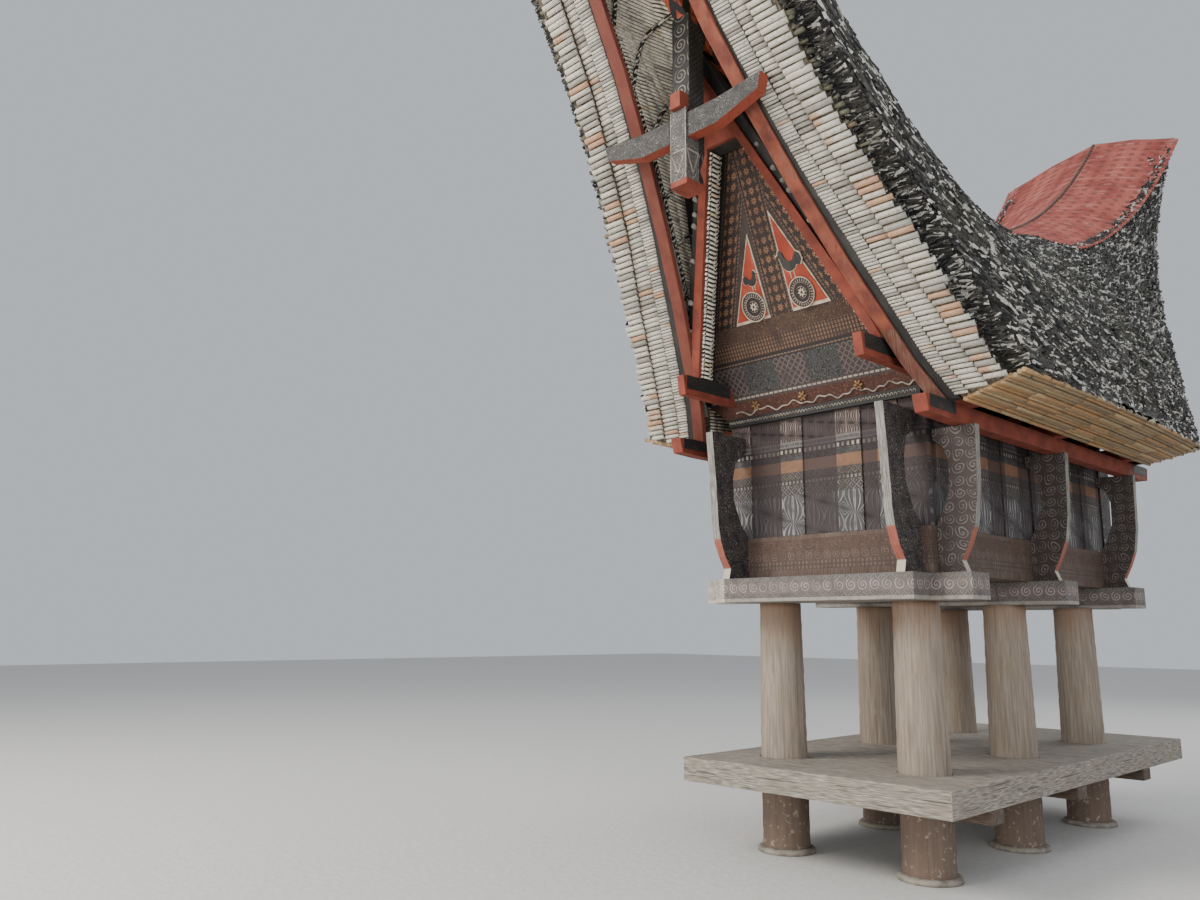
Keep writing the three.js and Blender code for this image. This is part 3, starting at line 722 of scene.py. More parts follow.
@dataclass(frozen=True)
class SunDisc:
    """Carved sun disc in rings round an eight-point star."""

    name: str = "sun_disc"

    def material(self) -> Material:
        """Builds the material and returns it."""
        paint = Paint(self.name)
        radius, turn = paint.grain()
        point = abs((turn * 8.0) % 1.0 - 0.5)
        star = radius.rise(0.04, 0.038) * (radius - point * 0.038).rise(0.015, 0.012)
        star = star * radius.rise(0.008, 0.011)
        rings = radius.within(0.036, 0.039, 0.001) + radius.within(0.062, 0.065, 0.001)
        rings = rings + radius.within(0.092, 0.1, 0.001)
        ticks = ((turn * 28.0) % 1.0).within(0.2, 0.55, 0.05) * radius.within(0.069, 0.086, 0.001)
        line = (rings + star + ticks * 0.6).least(1.0)
        wear = paint.noise((radius, turn), 40.0, 2.0).rise(0.2, 0.5)
        return paint.done(paint.mix(line * wear, rgb(44, 30, 28), CREAM), 0.7, line, 0.003)


def ground_finish(name: str, colour: Colour, mottle: Colour, rough: float = 0.9) -> Material:
    """Material with one soft mottle.

    Args:
        name: name of the material.
        colour: main colour.
        mottle: second colour.
        rough: roughness.

    Returns:
        The material.
    """
    paint = Paint(name)
    x, y, z = paint.place()
    spots = paint.noise((x, y, z), 18.0, 4.0)
    return paint.done(paint.mix(spots.rise(0.35, 0.7), colour, mottle), rough, spots, 0.004)


# ---------------------------------------------------------------- meshes


def grain_map(mesh: Mesh, along: Grain) -> None:
    """Writes the map of distance along and across the grain on every face.

    Args:
        mesh: mesh to map.
        along: direction of the grain for a face centre.
    """
    layer = mesh.uv_layers.get("grain") or mesh.uv_layers.new(name="grain")
    for face in mesh.polygons:
        grain = along(face.center).normalized()
        across = face.normal.cross(grain)
        if across.length < LEAST_CROSS:
            grain = face.normal.orthogonal().normalized()
            across = face.normal.cross(grain)
        across.normalize()
        for loop in face.loop_indices:
            spot = mesh.vertices[mesh.loops[loop].vertex_index].co
            layer.data[loop].uv = (spot.dot(grain), spot.dot(across))


def straight(axis: Point) -> Grain:
    """Grain in one fixed direction."""
    direction = Vector(axis)
    return lambda centre: direction


CROSSWISE, LENGTHWISE, UPRIGHT = straight((1, 0, 0)), straight((0, 1, 0)), straight((0, 0, 1))


def turning(border: float) -> Grain:
    """Grain along the house beyond a border on X, and across it within."""
    return lambda centre: (LENGTHWISE if abs(centre.x) > border else CROSSWISE)(centre)


def raking(lean: float, rate: float) -> Grain:
    """Grain that climbs towards the middle of a leaning end.

    Args:
        lean: forward reach for each metre of height.
        rate: inward reach for each metre of height.

    Returns:
        The grain direction for a face centre.
    """
    return lambda centre: Vector((-math.copysign(rate, centre.x), math.copysign(lean, centre.y), 1.0))


def mark_faces(mesh: Mesh, thin: Point | None) -> None:
    """Marks the faces that wear another finish.

    Args:
        mesh: mesh to mark.
        thin: thin direction of a board, whose other faces get rim 1.
    """
    marks = {"soffit": [1.0 if f.normal.z < SOFFIT_SLOPE
                        or abs(f.normal.x) > END_SLOPE and abs(f.center.x) > END_PLACE else 0.0
                        for f in mesh.polygons]}
    if thin is not None:
        axis = Vector(thin)
        marks["rim"] = [0.0 if abs(f.normal.dot(axis)) > THIN_SLOPE else 1.0 for f in mesh.polygons]
    for name, values in marks.items():
        mesh.attributes.new(name, "FLOAT", "FACE").data.foreach_set("value", values)


def place_piece(name: str, mesh: Mesh, material: Material,
                nodes: Sequence[str] = ()) -> bpy.types.Object:
    """Adds a finished mesh to the house.

    Args:
        name: name of the piece.
        mesh: its mesh, in place.
        material: its finish.
        nodes: CAD nodes that it replaces.

    Returns:
        The piece.
    """
    mesh.name = name
    mesh.materials.clear()
    mesh.materials.append(material)
    piece = bpy.data.objects.new(name, mesh)
    bpy.context.scene.collection.objects.link(piece)
    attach(piece, "root")
    if nodes:
        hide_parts(*nodes)
    LOG.info("%s: %d faces", name, len(mesh.polygons))
    return piece


def keep_inside(mesh: Mesh, low: Vector, high: Vector) -> None:
    """Holds the vertices of a mesh inside a box.

    Args:
        mesh: mesh to hold.
        low: lowest corner.
        high: highest corner.
    """
    spots = np.empty(len(mesh.vertices) * 3, np.float32)
    mesh.vertices.foreach_get("co", spots)
    spots = spots.reshape(-1, 3).clip(np.array(low) + INSIDE, np.array(high) - INSIDE)
    mesh.vertices.foreach_set("co", spots.ravel())
    mesh.update()


def refine(name: str, node: str, material: Material, along: Grain, bevel: float,
           thin: Point | None = None) -> None:
    """Makes one piece from a CAD node: merges its triangles, rounds its edges and maps its grain.

    Args:
        name: name of the piece.
        node: node that it is made from and replaces.
        material: its finish.
        along: direction of the grain for a face centre.
        bevel: width of the worn edge in metres.
        thin: thin direction of a board, where rims have their own finish.
    """
    body = bmesh.new()
    body.from_mesh(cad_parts[node].data)
    bmesh.ops.remove_doubles(body, verts=body.verts, dist=SAME_SPOT)
    bmesh.ops.dissolve_limit(body, angle_limit=FLAT_ANGLE, verts=body.verts, edges=body.edges)
    sharp = [e for e in body.edges if len(e.link_faces) == 2 and e.calc_face_angle(0.0) > SHARP_ANGLE]
    bmesh.ops.bevel(body, geom=sharp, offset=bevel, segments=2, profile=0.6, affect="EDGES",
                    clamp_overlap=True, offset_type="OFFSET")
    mesh = bpy.data.meshes.new(name)
    body.to_mesh(mesh)
    body.free()
    grain_map(mesh, along)
    mark_faces(mesh, thin)
    place_piece(name, mesh, material, [node])


def dress(node: str, material: Material) -> None:
    """Gives a CAD node that stays in the scene its finish.

    Args:
        node: name of the node.
        material: its finish.
    """
    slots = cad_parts[node].data.materials
    slots.clear()
    slots.append(material)


@dataclass
class Shape:
    """Vertices and faces gathered for one mesh."""

    points: list[Point] = field(default_factory=list)
    faces: list[Sequence[int]] = field(default_factory=list)

    def add(self, points: Sequence[Point], faces: Sequence[Sequence[int]]) -> None:
        """Adds one loose part.

        Args:
            points: its corners.
            faces: corner numbers of each face.
        """
        start = len(self.points)
        self.points.extend(points)
        self.faces.extend([start + i for i in face] for face in faces)

    def bar(self, start: Point, end: Point, side: Point, width: float, height: float) -> None:
        """Adds a straight bar.

        Args:
            start: middle of one end.
            end: middle of the other end.
            side: direction of its width.
            width: size along side.
            height: size square to side.
        """
        a, b = Vector(start), Vector(end)
        along = (b - a).normalized()
        across = Vector(side)
        across = (across - along * across.dot(along)).normalized() * (width / 2)
        up = along.cross(across).normalized() * (height / 2)
        ring = [across + up, up - across, -across - up, across - up]
        points = [p + q for p in (a, b) for q in ring]
        self.add(points, [(0, 1, 5, 4), (1, 2, 6, 5), (2, 3, 7, 6), (3, 0, 4, 7), (3, 2, 1, 0), (4, 5, 6, 7)])

    def plate(self, outline: Sequence[Point], lift: Point) -> None:
        """Adds a flat plate.

        Args:
            outline: corners of its back.
            lift: vector from back to front.
        """
        count = len(outline)
        back = [Vector(p) for p in outline]
        front = [p + Vector(lift) for p in back]
        sides = [(i, (i + 1) % count, count + (i + 1) % count, count + i) for i in range(count)]
        self.add(back + front, [list(range(count))[::-1], list(range(count, 2 * count)), *sides])

    def tube(self, path: Sequence[Point], radii: Sequence[float], sides: int = 8) -> None:
        """Adds a closed round bar along a path.

        Args:
            path: points along the middle.
            radii: radius at each point.
            sides: number of faces round it.
        """
        spots = [Vector(p) for p in path]
        up = Vector((0.0, 0.0, 1.0))
        if abs((spots[-1] - spots[0]).normalized().z) > 0.95:
            up = Vector((0.0, 1.0, 0.0))
        turns = [math.tau * s / sides for s in range(sides)]
        rings = []
        for k, spot in enumerate(spots):
            along = (spots[min(k + 1, len(spots) - 1)] - spots[max(k - 1, 0)]).normalized()
            one = along.cross(up).normalized()
            two = one.cross(along)
            rings.append([spot + (one * math.cos(turn) + two * math.sin(turn)) * radii[k] for turn in turns])
        self.skin(rings)

    def skin(self, rings: Sequence[Sequence[Point]]) -> None:
        """Joins rings that have the same number of points, and closes both ends.

        Args:
            rings: points of each ring, in order along the form.
        """
        sides = len(rings[0])
        last = (len(rings) - 1) * sides
        faces: list[Sequence[int]] = []
        for start in range(0, last, sides):
            for s in range(sides):
                a, b = start + s, start + (s + 1) % sides
                faces.append((a, b, b + sides, a + sides))
        faces += [list(range(sides))[::-1], list(range(last, last + sides))]
        self.add([point for ring in rings for point in ring], faces)

    def mesh(self, name: str, along: Grain, smooth: bool = False) -> Mesh:
        """Turns the parts into a mesh with outward faces and a grain map.

        Args:
            name: name of the mesh.
            along: direction of the grain for a face centre.
            smooth: True for round forms.

        Returns:
            The mesh.
        """
        mesh = bpy.data.meshes.new(name)
        mesh.from_pydata([tuple(p) for p in self.points], [], [list(f) for f in self.faces])
        body = bmesh.new()
        body.from_mesh(mesh)
        bmesh.ops.recalc_face_normals(body, faces=body.faces)
        body.to_mesh(mesh)
        body.free()
        grain_map(mesh, along)
        mesh.polygons.foreach_set("use_smooth", [smooth and len(p.vertices) == 4 for p in mesh.polygons])
        return mesh

    def place(self, name: str, along: Grain, material: Material, slot: str, smooth: bool = False) -> None:
        """Turns the parts into a finished piece of the house."""
        place_piece(name, self.mesh(name, along, smooth), material)


@dataclass
class Spots:
    """Places, directions and sizes for repeated pieces."""

    place: list[np.ndarray] = field(default_factory=list)
    along: list[np.ndarray] = field(default_factory=list)
    out: list[np.ndarray] = field(default_factory=list)
    size: list[np.ndarray] = field(default_factory=list)

    def add(self, place: np.ndarray, along: np.ndarray, out: np.ndarray, size: np.ndarray | Point) -> None:
        """Adds spots, given as rows or as one row for all.

        Args:
            place: their middles.
            along: long direction.
            out: outward direction.
            size: size on the three axes.
        """
        place = np.atleast_2d(place)
        self.place.append(place)
        self.along.append(np.broadcast_to(along, place.shape))
        self.out.append(np.broadcast_to(out, place.shape))
        self.size.append(np.broadcast_to(size, place.shape))

    def turns(self) -> np.ndarray:
        """Euler angles that carry X to the long direction and Z towards the outward one.

        Returns:
            The angles as rows.
        """
        x = np.concatenate(self.along).astype(float)
        x /= np.linalg.norm(x, axis=1, keepdims=True)
        z = np.concatenate(self.out).astype(float)
        z -= x * (x * z).sum(1, keepdims=True)
        z /= np.linalg.norm(z, axis=1, keepdims=True) + 1e-12
        y = np.cross(z, x)
        return np.stack([np.arctan2(y[:, 2], z[:, 2]), -np.arcsin(x[:, 2].clip(-1, 1)),
                         np.arctan2(x[:, 1], x[:, 0])], 1)


class Layer:
    """Lays copies of one small shape on spots with Geometry Nodes."""

    tree: bpy.types.NodeTree | None = None
    sockets: dict[str, str] = {}

    @classmethod
    def build(cls) -> None:
        """Builds the node tree once, with named inputs for the shape, its spread and its finish."""
        tree = bpy.data.node_groups.new("laid_pieces", "GeometryNodeTree")
        tree.interface.new_socket("Geometry", in_out="INPUT", socket_type="NodeSocketGeometry")
        tree.interface.new_socket("Geometry", in_out="OUTPUT", socket_type="NodeSocketGeometry")
        wanted = (("Shape", "Object"), ("Turn spread", "Vector"), ("Size spread", "Float"), ("Seed", "Int"),
                  ("Finish", "Material"))
        for name, kind in wanted:
            cls.sockets[name] = tree.interface.new_socket(
                name, in_out="INPUT", socket_type="NodeSocket" + kind).identifier
        given = tree.nodes.new("NodeGroupInput").outputs

        def node(kind: str, settings: dict, inputs: dict) -> bpy.types.Node:
            """Adds one node, its settings first.

            Args:
                kind: full name of the node type.
                settings: its properties.
                inputs: values or links by socket.

            Returns:
                The node.
            """
            made = tree.nodes.new(kind)
            for key, setting in settings.items():
                setattr(made, key, setting)
            for key, value in inputs.items():
                if isinstance(value, bpy.types.NodeSocket):
                    tree.links.new(value, made.inputs[key])
                else:
                    made.inputs[key].default_value = value
            return made

        shape = node("GeometryNodeObjectInfo", {"transform_space": "ORIGINAL"}, {"Object": given["Shape"]})
        turn = node("GeometryNodeInputNamedAttribute", {"data_type": "FLOAT_VECTOR"}, {"Name": "turn"})
        size = node("GeometryNodeInputNamedAttribute", {"data_type": "FLOAT_VECTOR"}, {"Name": "size"})
        back = node("ShaderNodeVectorMath", {"operation": "SCALE"}, {0: given["Turn spread"], "Scale": -1.0})
        loose = node("FunctionNodeRandomValue", {"data_type": "FLOAT_VECTOR"},
                     {0: back.outputs[0], 1: given["Turn spread"], "Seed": given["Seed"]})
        turned = node("ShaderNodeVectorMath", {"operation": "ADD"}, {0: turn.outputs[0], 1: loose.outputs[0]})
        euler = node("FunctionNodeEulerToRotation", {}, {0: turned.outputs[0]})
        low = node("ShaderNodeMath", {"operation": "SUBTRACT"}, {0: 1.0, 1: given["Size spread"]})
        high = node("ShaderNodeMath", {"operation": "ADD"}, {0: 1.0, 1: given["Size spread"]})
        vary = node("FunctionNodeRandomValue", {"data_type": "FLOAT"},
                    {2: low.outputs[0], 3: high.outputs[0], "Seed": given["Seed"]})
        scaled = node("ShaderNodeVectorMath", {"operation": "SCALE"},
                      {0: size.outputs[0], "Scale": vary.outputs[1]})
        laid = node("GeometryNodeInstanceOnPoints", {}, {
            "Points": given["Geometry"], "Instance": shape.outputs["Geometry"], "Rotation": euler.outputs[0],
            "Scale": scaled.outputs[0]})
        tone = node("FunctionNodeRandomValue", {"data_type": "FLOAT"}, {2: 0.0, 3: 1.0, "Seed": 11})
        toned = node("GeometryNodeStoreNamedAttribute", {"data_type": "FLOAT", "domain": "INSTANCE"}, {
            "Geometry": laid.outputs[0], "Name": "tone", "Value": tone.outputs[1]})
        real = node("GeometryNodeRealizeInstances", {}, {"Geometry": toned.outputs[0]})
        dressed = node("GeometryNodeSetMaterial", {},
                       {"Geometry": real.outputs[0], "Material": given["Finish"]})
        tree.links.new(dressed.outputs[0], tree.nodes.new("NodeGroupOutput").inputs[0])
        cls.tree = tree

    @classmethod
    def lay(cls, name: str, shape: Mesh, spots: Spots, material: Material, slot: str,
            turn: Point = (0.0, 0.0, 0.0), size: float = 0.0, seed: int = 1) -> bpy.types.Object:
        """Lays the copies and turns them into one plain mesh.

        Args:
            name: name of the piece.
            shape: mesh of one copy, with its long side on X.
            spots: where the copies lie.
            material: their finish.
            slot: not used.
            turn: random turn to each side about the three axes, in radians.
            size: random share of the size to each side.
            seed: seed of the random parts.

        Returns:
            The piece.
        """
        if cls.tree is None:
            cls.build()
        motif = bpy.data.objects.new(name + "_one", shape)
        points = bpy.data.meshes.new(name + "_spots")
        points.from_pydata(np.concatenate(spots.place).tolist(), [], [])
        for key, rows in (("turn", spots.turns()), ("size", np.concatenate(spots.size))):
            layer = points.attributes.new(key, "FLOAT_VECTOR", "POINT")
            layer.data.foreach_set("vector", np.asarray(rows, np.float32).ravel())
        carrier = bpy.data.objects.new(name + "_carrier", points)
        for one in (motif, carrier):
            bpy.context.scene.collection.objects.link(one)
        modifier = carrier.modifiers.new("laid", "NODES")
        modifier.node_group = cls.tree
        values = {"Shape": motif, "Turn spread": tuple(turn), "Size spread": size, "Seed": seed,
                  "Finish": material}
        for key, value in values.items():
            modifier[cls.sockets[key]] = value
        bpy.context.view_layer.update()
        graph = bpy.context.evaluated_depsgraph_get()
        mesh = bpy.data.meshes.new_from_object(carrier.evaluated_get(graph), preserve_all_data_layers=True,
                                               depsgraph=graph)
        carrier.modifiers.clear()
        for one in (carrier, motif):
            bpy.data.objects.remove(one)
        keep_inside(mesh, *HOUSE_BOX)
        return place_piece(name, mesh, material)


def culm_shape(name: str, sides: int = 6, knots: int = 1, half: bool = False) -> Mesh:
    """One bamboo piece of unit length and unit radius.

    Args:
        name: name of the mesh.
        sides: number of faces round it.
        knots: number of raised rings along it.
        half: True for a culm split down its length.

    Returns:
        The mesh, along X from -0.5 to 0.5.
    """
    path, radii = [], []
    stops = [-0.5]
    for k in range(knots):
        middle = (k + 1) / (knots + 1) - 0.5
        stops += [middle - 0.03, middle, middle + 0.03]
    stops.append(0.5)
    for k, x in enumerate(stops):
        path.append((x, 0.0, 0.0))
        radii.append(1.12 if knots and k % 3 == 2 and k < len(stops) - 1 else 1.0)
    shape = Shape()
    shape.tube(path, radii, sides)
    if half:
        shape.points = [Vector((p[0], p[1], max(p[2], 0.0))) for p in shape.points]
    return shape.mesh(name, CROSSWISE, smooth=True)


def strip_shape(name: str) -> Mesh:
    """One straight three-sided strip of unit length, width and height, along X with its ridge on Z.

    Args:
        name: name of the mesh.

    Returns:
        The mesh.
    """
    points = [(x, y, z) for x in (-0.5, 0.5) for y, z in ((-0.5, 0.0), (0.5, 0.0), (0.1, 1.0))]
    shape = Shape()
    shape.add(points, [(0, 2, 1), (3, 4, 5), (0, 1, 4, 3), (1, 2, 5, 4), (2, 0, 3, 5)])
    return shape.mesh(name, CROSSWISE)


# ---------------------------------------------------------------- the house


@dataclass(frozen=True)
class RoofForm:
    """Curved form of the saddle roof, from the same tables as the solids, in metres."""

    outer_mid: tuple = ((1.6, 3.08), (1.52, 3.35), (1.4, 3.62), (1.28, 3.86), (1.16, 4.08), (1.04, 4.28),
                        (0.93, 4.46), (0.83, 4.6), (0.75, 4.72), (0.4, 4.96), (0.0, 5.12))
    outer_end: tuple = ((1.55, 3.08), (1.4, 3.55), (1.25, 4.1), (1.12, 4.6), (1.02, 5.1), (0.95, 5.7),
                        (0.93, 6.3), (0.925, 6.8), (0.92, 7.15), (0.48, 7.37), (0.0, 7.52))
    inner_mid: tuple = ((1.13, 2.98), (1.02, 3.22), (0.94, 3.4), (0.86, 3.58), (0.78, 3.76), (0.69, 3.95),
                        (0.6, 4.12), (0.52, 4.27), (0.44, 4.4), (0.16, 4.54), (0.0, 4.54))
    inner_end: tuple = ((1.13, 2.98), (1.02, 3.22), (0.82, 3.85), (0.7, 4.3), (0.6, 4.75), (0.52, 5.2),
                        (0.47, 5.7), (0.44, 6.2), (0.42, 6.65), (0.16, 6.93), (0.0, 6.93))
    lean: float = 0.665

    def verge(self, z: np.ndarray | float) -> np.ndarray | float:
        """Reach of the leaning end at a height."""
        return 1.735 + self.lean * (z - 3.0)

    def point(self, depth: np.ndarray | float, step: np.ndarray | float, v: np.ndarray | float,
              side: int = 1) -> np.ndarray:
        """Points of the roof.

        Args:
            depth: 0 at the ceiling to 1 at the outer face.
            step: 0 at the eave to 10 at the ridge.
            v: -1 at the front end to 1 at the rear end.
            side: 1 for the right half and -1 for the left.

        Returns:
            The points as rows.
        """
        depth, step, v = np.broadcast_arrays(np.asarray(depth, float), step, v)
        index = np.arange(11)

        def between(inner: tuple, outer: tuple) -> list[np.ndarray]:
            """Reads two tables at the steps and blends them by depth.

            Args:
                inner: rows at the ceiling.
                outer: rows at the outer face.

            Returns:
                Half width and height.
            """
            near, far = ([np.interp(step, index, [row[k] for row in t]) for k in (0, 1)]
                         for t in (inner, outer))
            return [a + (b - a) * depth for a, b in zip(near, far)]

        mid, end = between(self.inner_mid, self.outer_mid), between(self.inner_end, self.outer_end)
        share = v * v
        w = mid[0] + (end[0] - mid[0]) * share
        z = mid[1] + (end[1] - mid[1]) * share
        return np.stack([side * w, v * self.verge(end[1]), z], -1)

    def rim(self, depth: float, reach: float, z: np.ndarray) -> np.ndarray:
        """Row line of a leaning end, read at given heights.

        Args:
            depth: 0 at the ceiling to 1 at the outer face.
            reach: -1 for the front end to 1 for the rear end.
            z: the heights.

        Returns:
            Half width and place along the house, as rows.
        """
        line = self.point(depth, np.linspace(0, 10, 301), reach)
        return np.stack([np.interp(z, line[:, 2], line[:, k]) for k in (0, 1)], 1)


ROOF = RoofForm()
HOUSE_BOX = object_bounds()


@dataclass
class Finishes:
    """Every finish that more than one piece wears."""

    def __post_init__(self) -> None:
        """Builds the shared materials."""
        self.post = PostTimber().material()
        self.deck = OldTimber("deck_timber", rgb(168, 160, 148), rgb(108, 100, 90),
                              rgb(140, 128, 112)).material()
        self.dark = OldTimber("shaded_timber", rgb(104, 86, 72), rgb(62, 50, 42),
                              rgb(120, 112, 100)).material()
        self.grey = OldTimber("grey_timber", rgb(166, 162, 154), rgb(110, 104, 98),
                              rgb(140, 132, 122)).material()
        self.black = OldTimber("black_timber", rgb(46, 42, 40), rgb(22, 20, 19), rgb(66, 60, 55),
                               0.65).material()
        self.red = PaintedTimber("red_timber", rgb(140, 62, 42), rgb(104, 46, 32),
                                 rgb(116, 82, 64)).material()
        # Barge boards: worn paint, darkened on the left boards as painted shade.
        self.worn = PaintedTimber("worn_and_shaded_timber", rgb(146, 76, 52), rgb(96, 44, 34), rgb(128, 100, 82), 0.45,
                                  True).material()
        self.culm = Bamboo("verge_culms", warm_share=0.01).material()
        self.warm_culm = Bamboo("outer_culms", warm_share=0.16).material()
        self.stub = Bamboo("culm_stubs", rgb(96, 92, 72), rgb(58, 55, 44), rgb(110, 86, 64), 0.15,
                           rgb(34, 31, 27)).material()
        self.slat = Bamboo("ceiling_slats", rgb(252, 244, 224), rgb(230, 221, 204), rgb(230, 200, 158),
                           0.1).material()
        self.rod = Bamboo("eave_rods", rgb(178, 152, 112), rgb(134, 112, 82), rgb(164, 122, 78),
                          0.3).material()
        self.strips = Strips().material()
        self.batten = BoundBatten().material()
        self.lattice_tie = BoundBatten("lattice_tie", 0.0285).material()
        self.cream = ground_finish("cream_paint", rgb(206, 192, 170), rgb(160, 140, 120), 0.75)
        self.faint = ground_finish("faint_cream", rgb(166, 156, 142), rgb(112, 102, 92), 0.75)
        self.terracotta = PaintedTimber("terracotta_ground", rgb(176, 70, 44), rgb(140, 54, 36),
                                        rgb(186, 150, 122), 0.3).material()


@dataclass
class Substructure:
    """Round posts on mortar rings, and the sitting deck between them."""

    finishes: Finishes
    rows: tuple[float, ...] = (-1.342, 0.0, 1.342)
    across: float = 0.55
    foot: float = 0.168
    top: float = 0.152
    head: float = 1.745
    taper_from: float = 0.7
    levels: int = 44
    sides: int = 72
    mortar: tuple = ((0.0, 0.205), (0.02, 0.203), (0.031, 0.192), (0.034, 0.172))
    flute: float = 0.0022
    inset: float = 0.002
    low_wave: tuple[float, float] = (0.0012, 41)
    high_wave: tuple[float, float] = (0.001, 97)
    edge_x: float = 0.965

    def build(self) -> None:
        """Builds the posts and the deck."""
        finish = ground_finish("mortar", rgb(150, 142, 130), rgb(112, 104, 94))
        rings = Shape()
        for row, y in zip(ROW_NAMES, self.rows):
            for side, name in zip(SIDES, SIDE_NAMES):
                self.post(f"post_{row}_{name}", side * self.across, y)
                rings.tube([(side * self.across, y, z) for z, _ in self.mortar], [r for _, r in self.mortar],
                           48)
        rings.place("post_mortar_rings", UPRIGHT, finish, "weathered_post", True)
        self.deck()

    def post(self, node: str, x: float, y: float) -> None:
        """Replaces one post by a finely turned one with a slightly uneven surface.

        Args:
            node: name of the post.
            x: its place across.
            y: its place along.
        """
        rng = np.random.default_rng(int(abs(x * 10 + y * 100) * 7) + (x > 0))
        flutes = rng.uniform(-self.flute, self.flute, self.sides)
        flutes = (flutes + np.roll(flutes, 1)) / 2
        turns = [math.tau * s / self.sides for s in range(self.sides)]
        rings = []
        for z in np.linspace(0.004, self.head, self.levels):
            share = max(0.0, (z - self.taper_from) / (self.head - self.taper_from))
            base = self.foot - self.inset - (self.foot - self.top) * share
            wave = self.low_wave[0] * math.sin(z * self.low_wave[1] + x)
            wave += self.high_wave[0] * math.sin(z * self.high_wave[1] + y)
            radii = base + wave + flutes
            rings.append([(x + r * math.cos(t), y + r * math.sin(t), z) for r, t in zip(radii, turns)])
        shape = Shape()
        shape.skin(rings)
        place_piece(node + "_turned", shape.mesh(node, UPRIGHT, True), self.finishes.post,
                    [node])

    def deck(self) -> None:
        """Refines the deck's planks, edge planks and beams."""
        refine("deck_planks", "deck_floor", self.finishes.deck, CROSSWISE, 0.003)
        refine("deck_edge_planks", "deck_edge", self.finishes.deck,
               turning(self.edge_x), 0.006)
        for row in ROW_NAMES:
            refine(f"deck_beam_{row}_hewn", f"deck_beam_{row}", self.finishes.dark, CROSSWISE,
                   0.008)


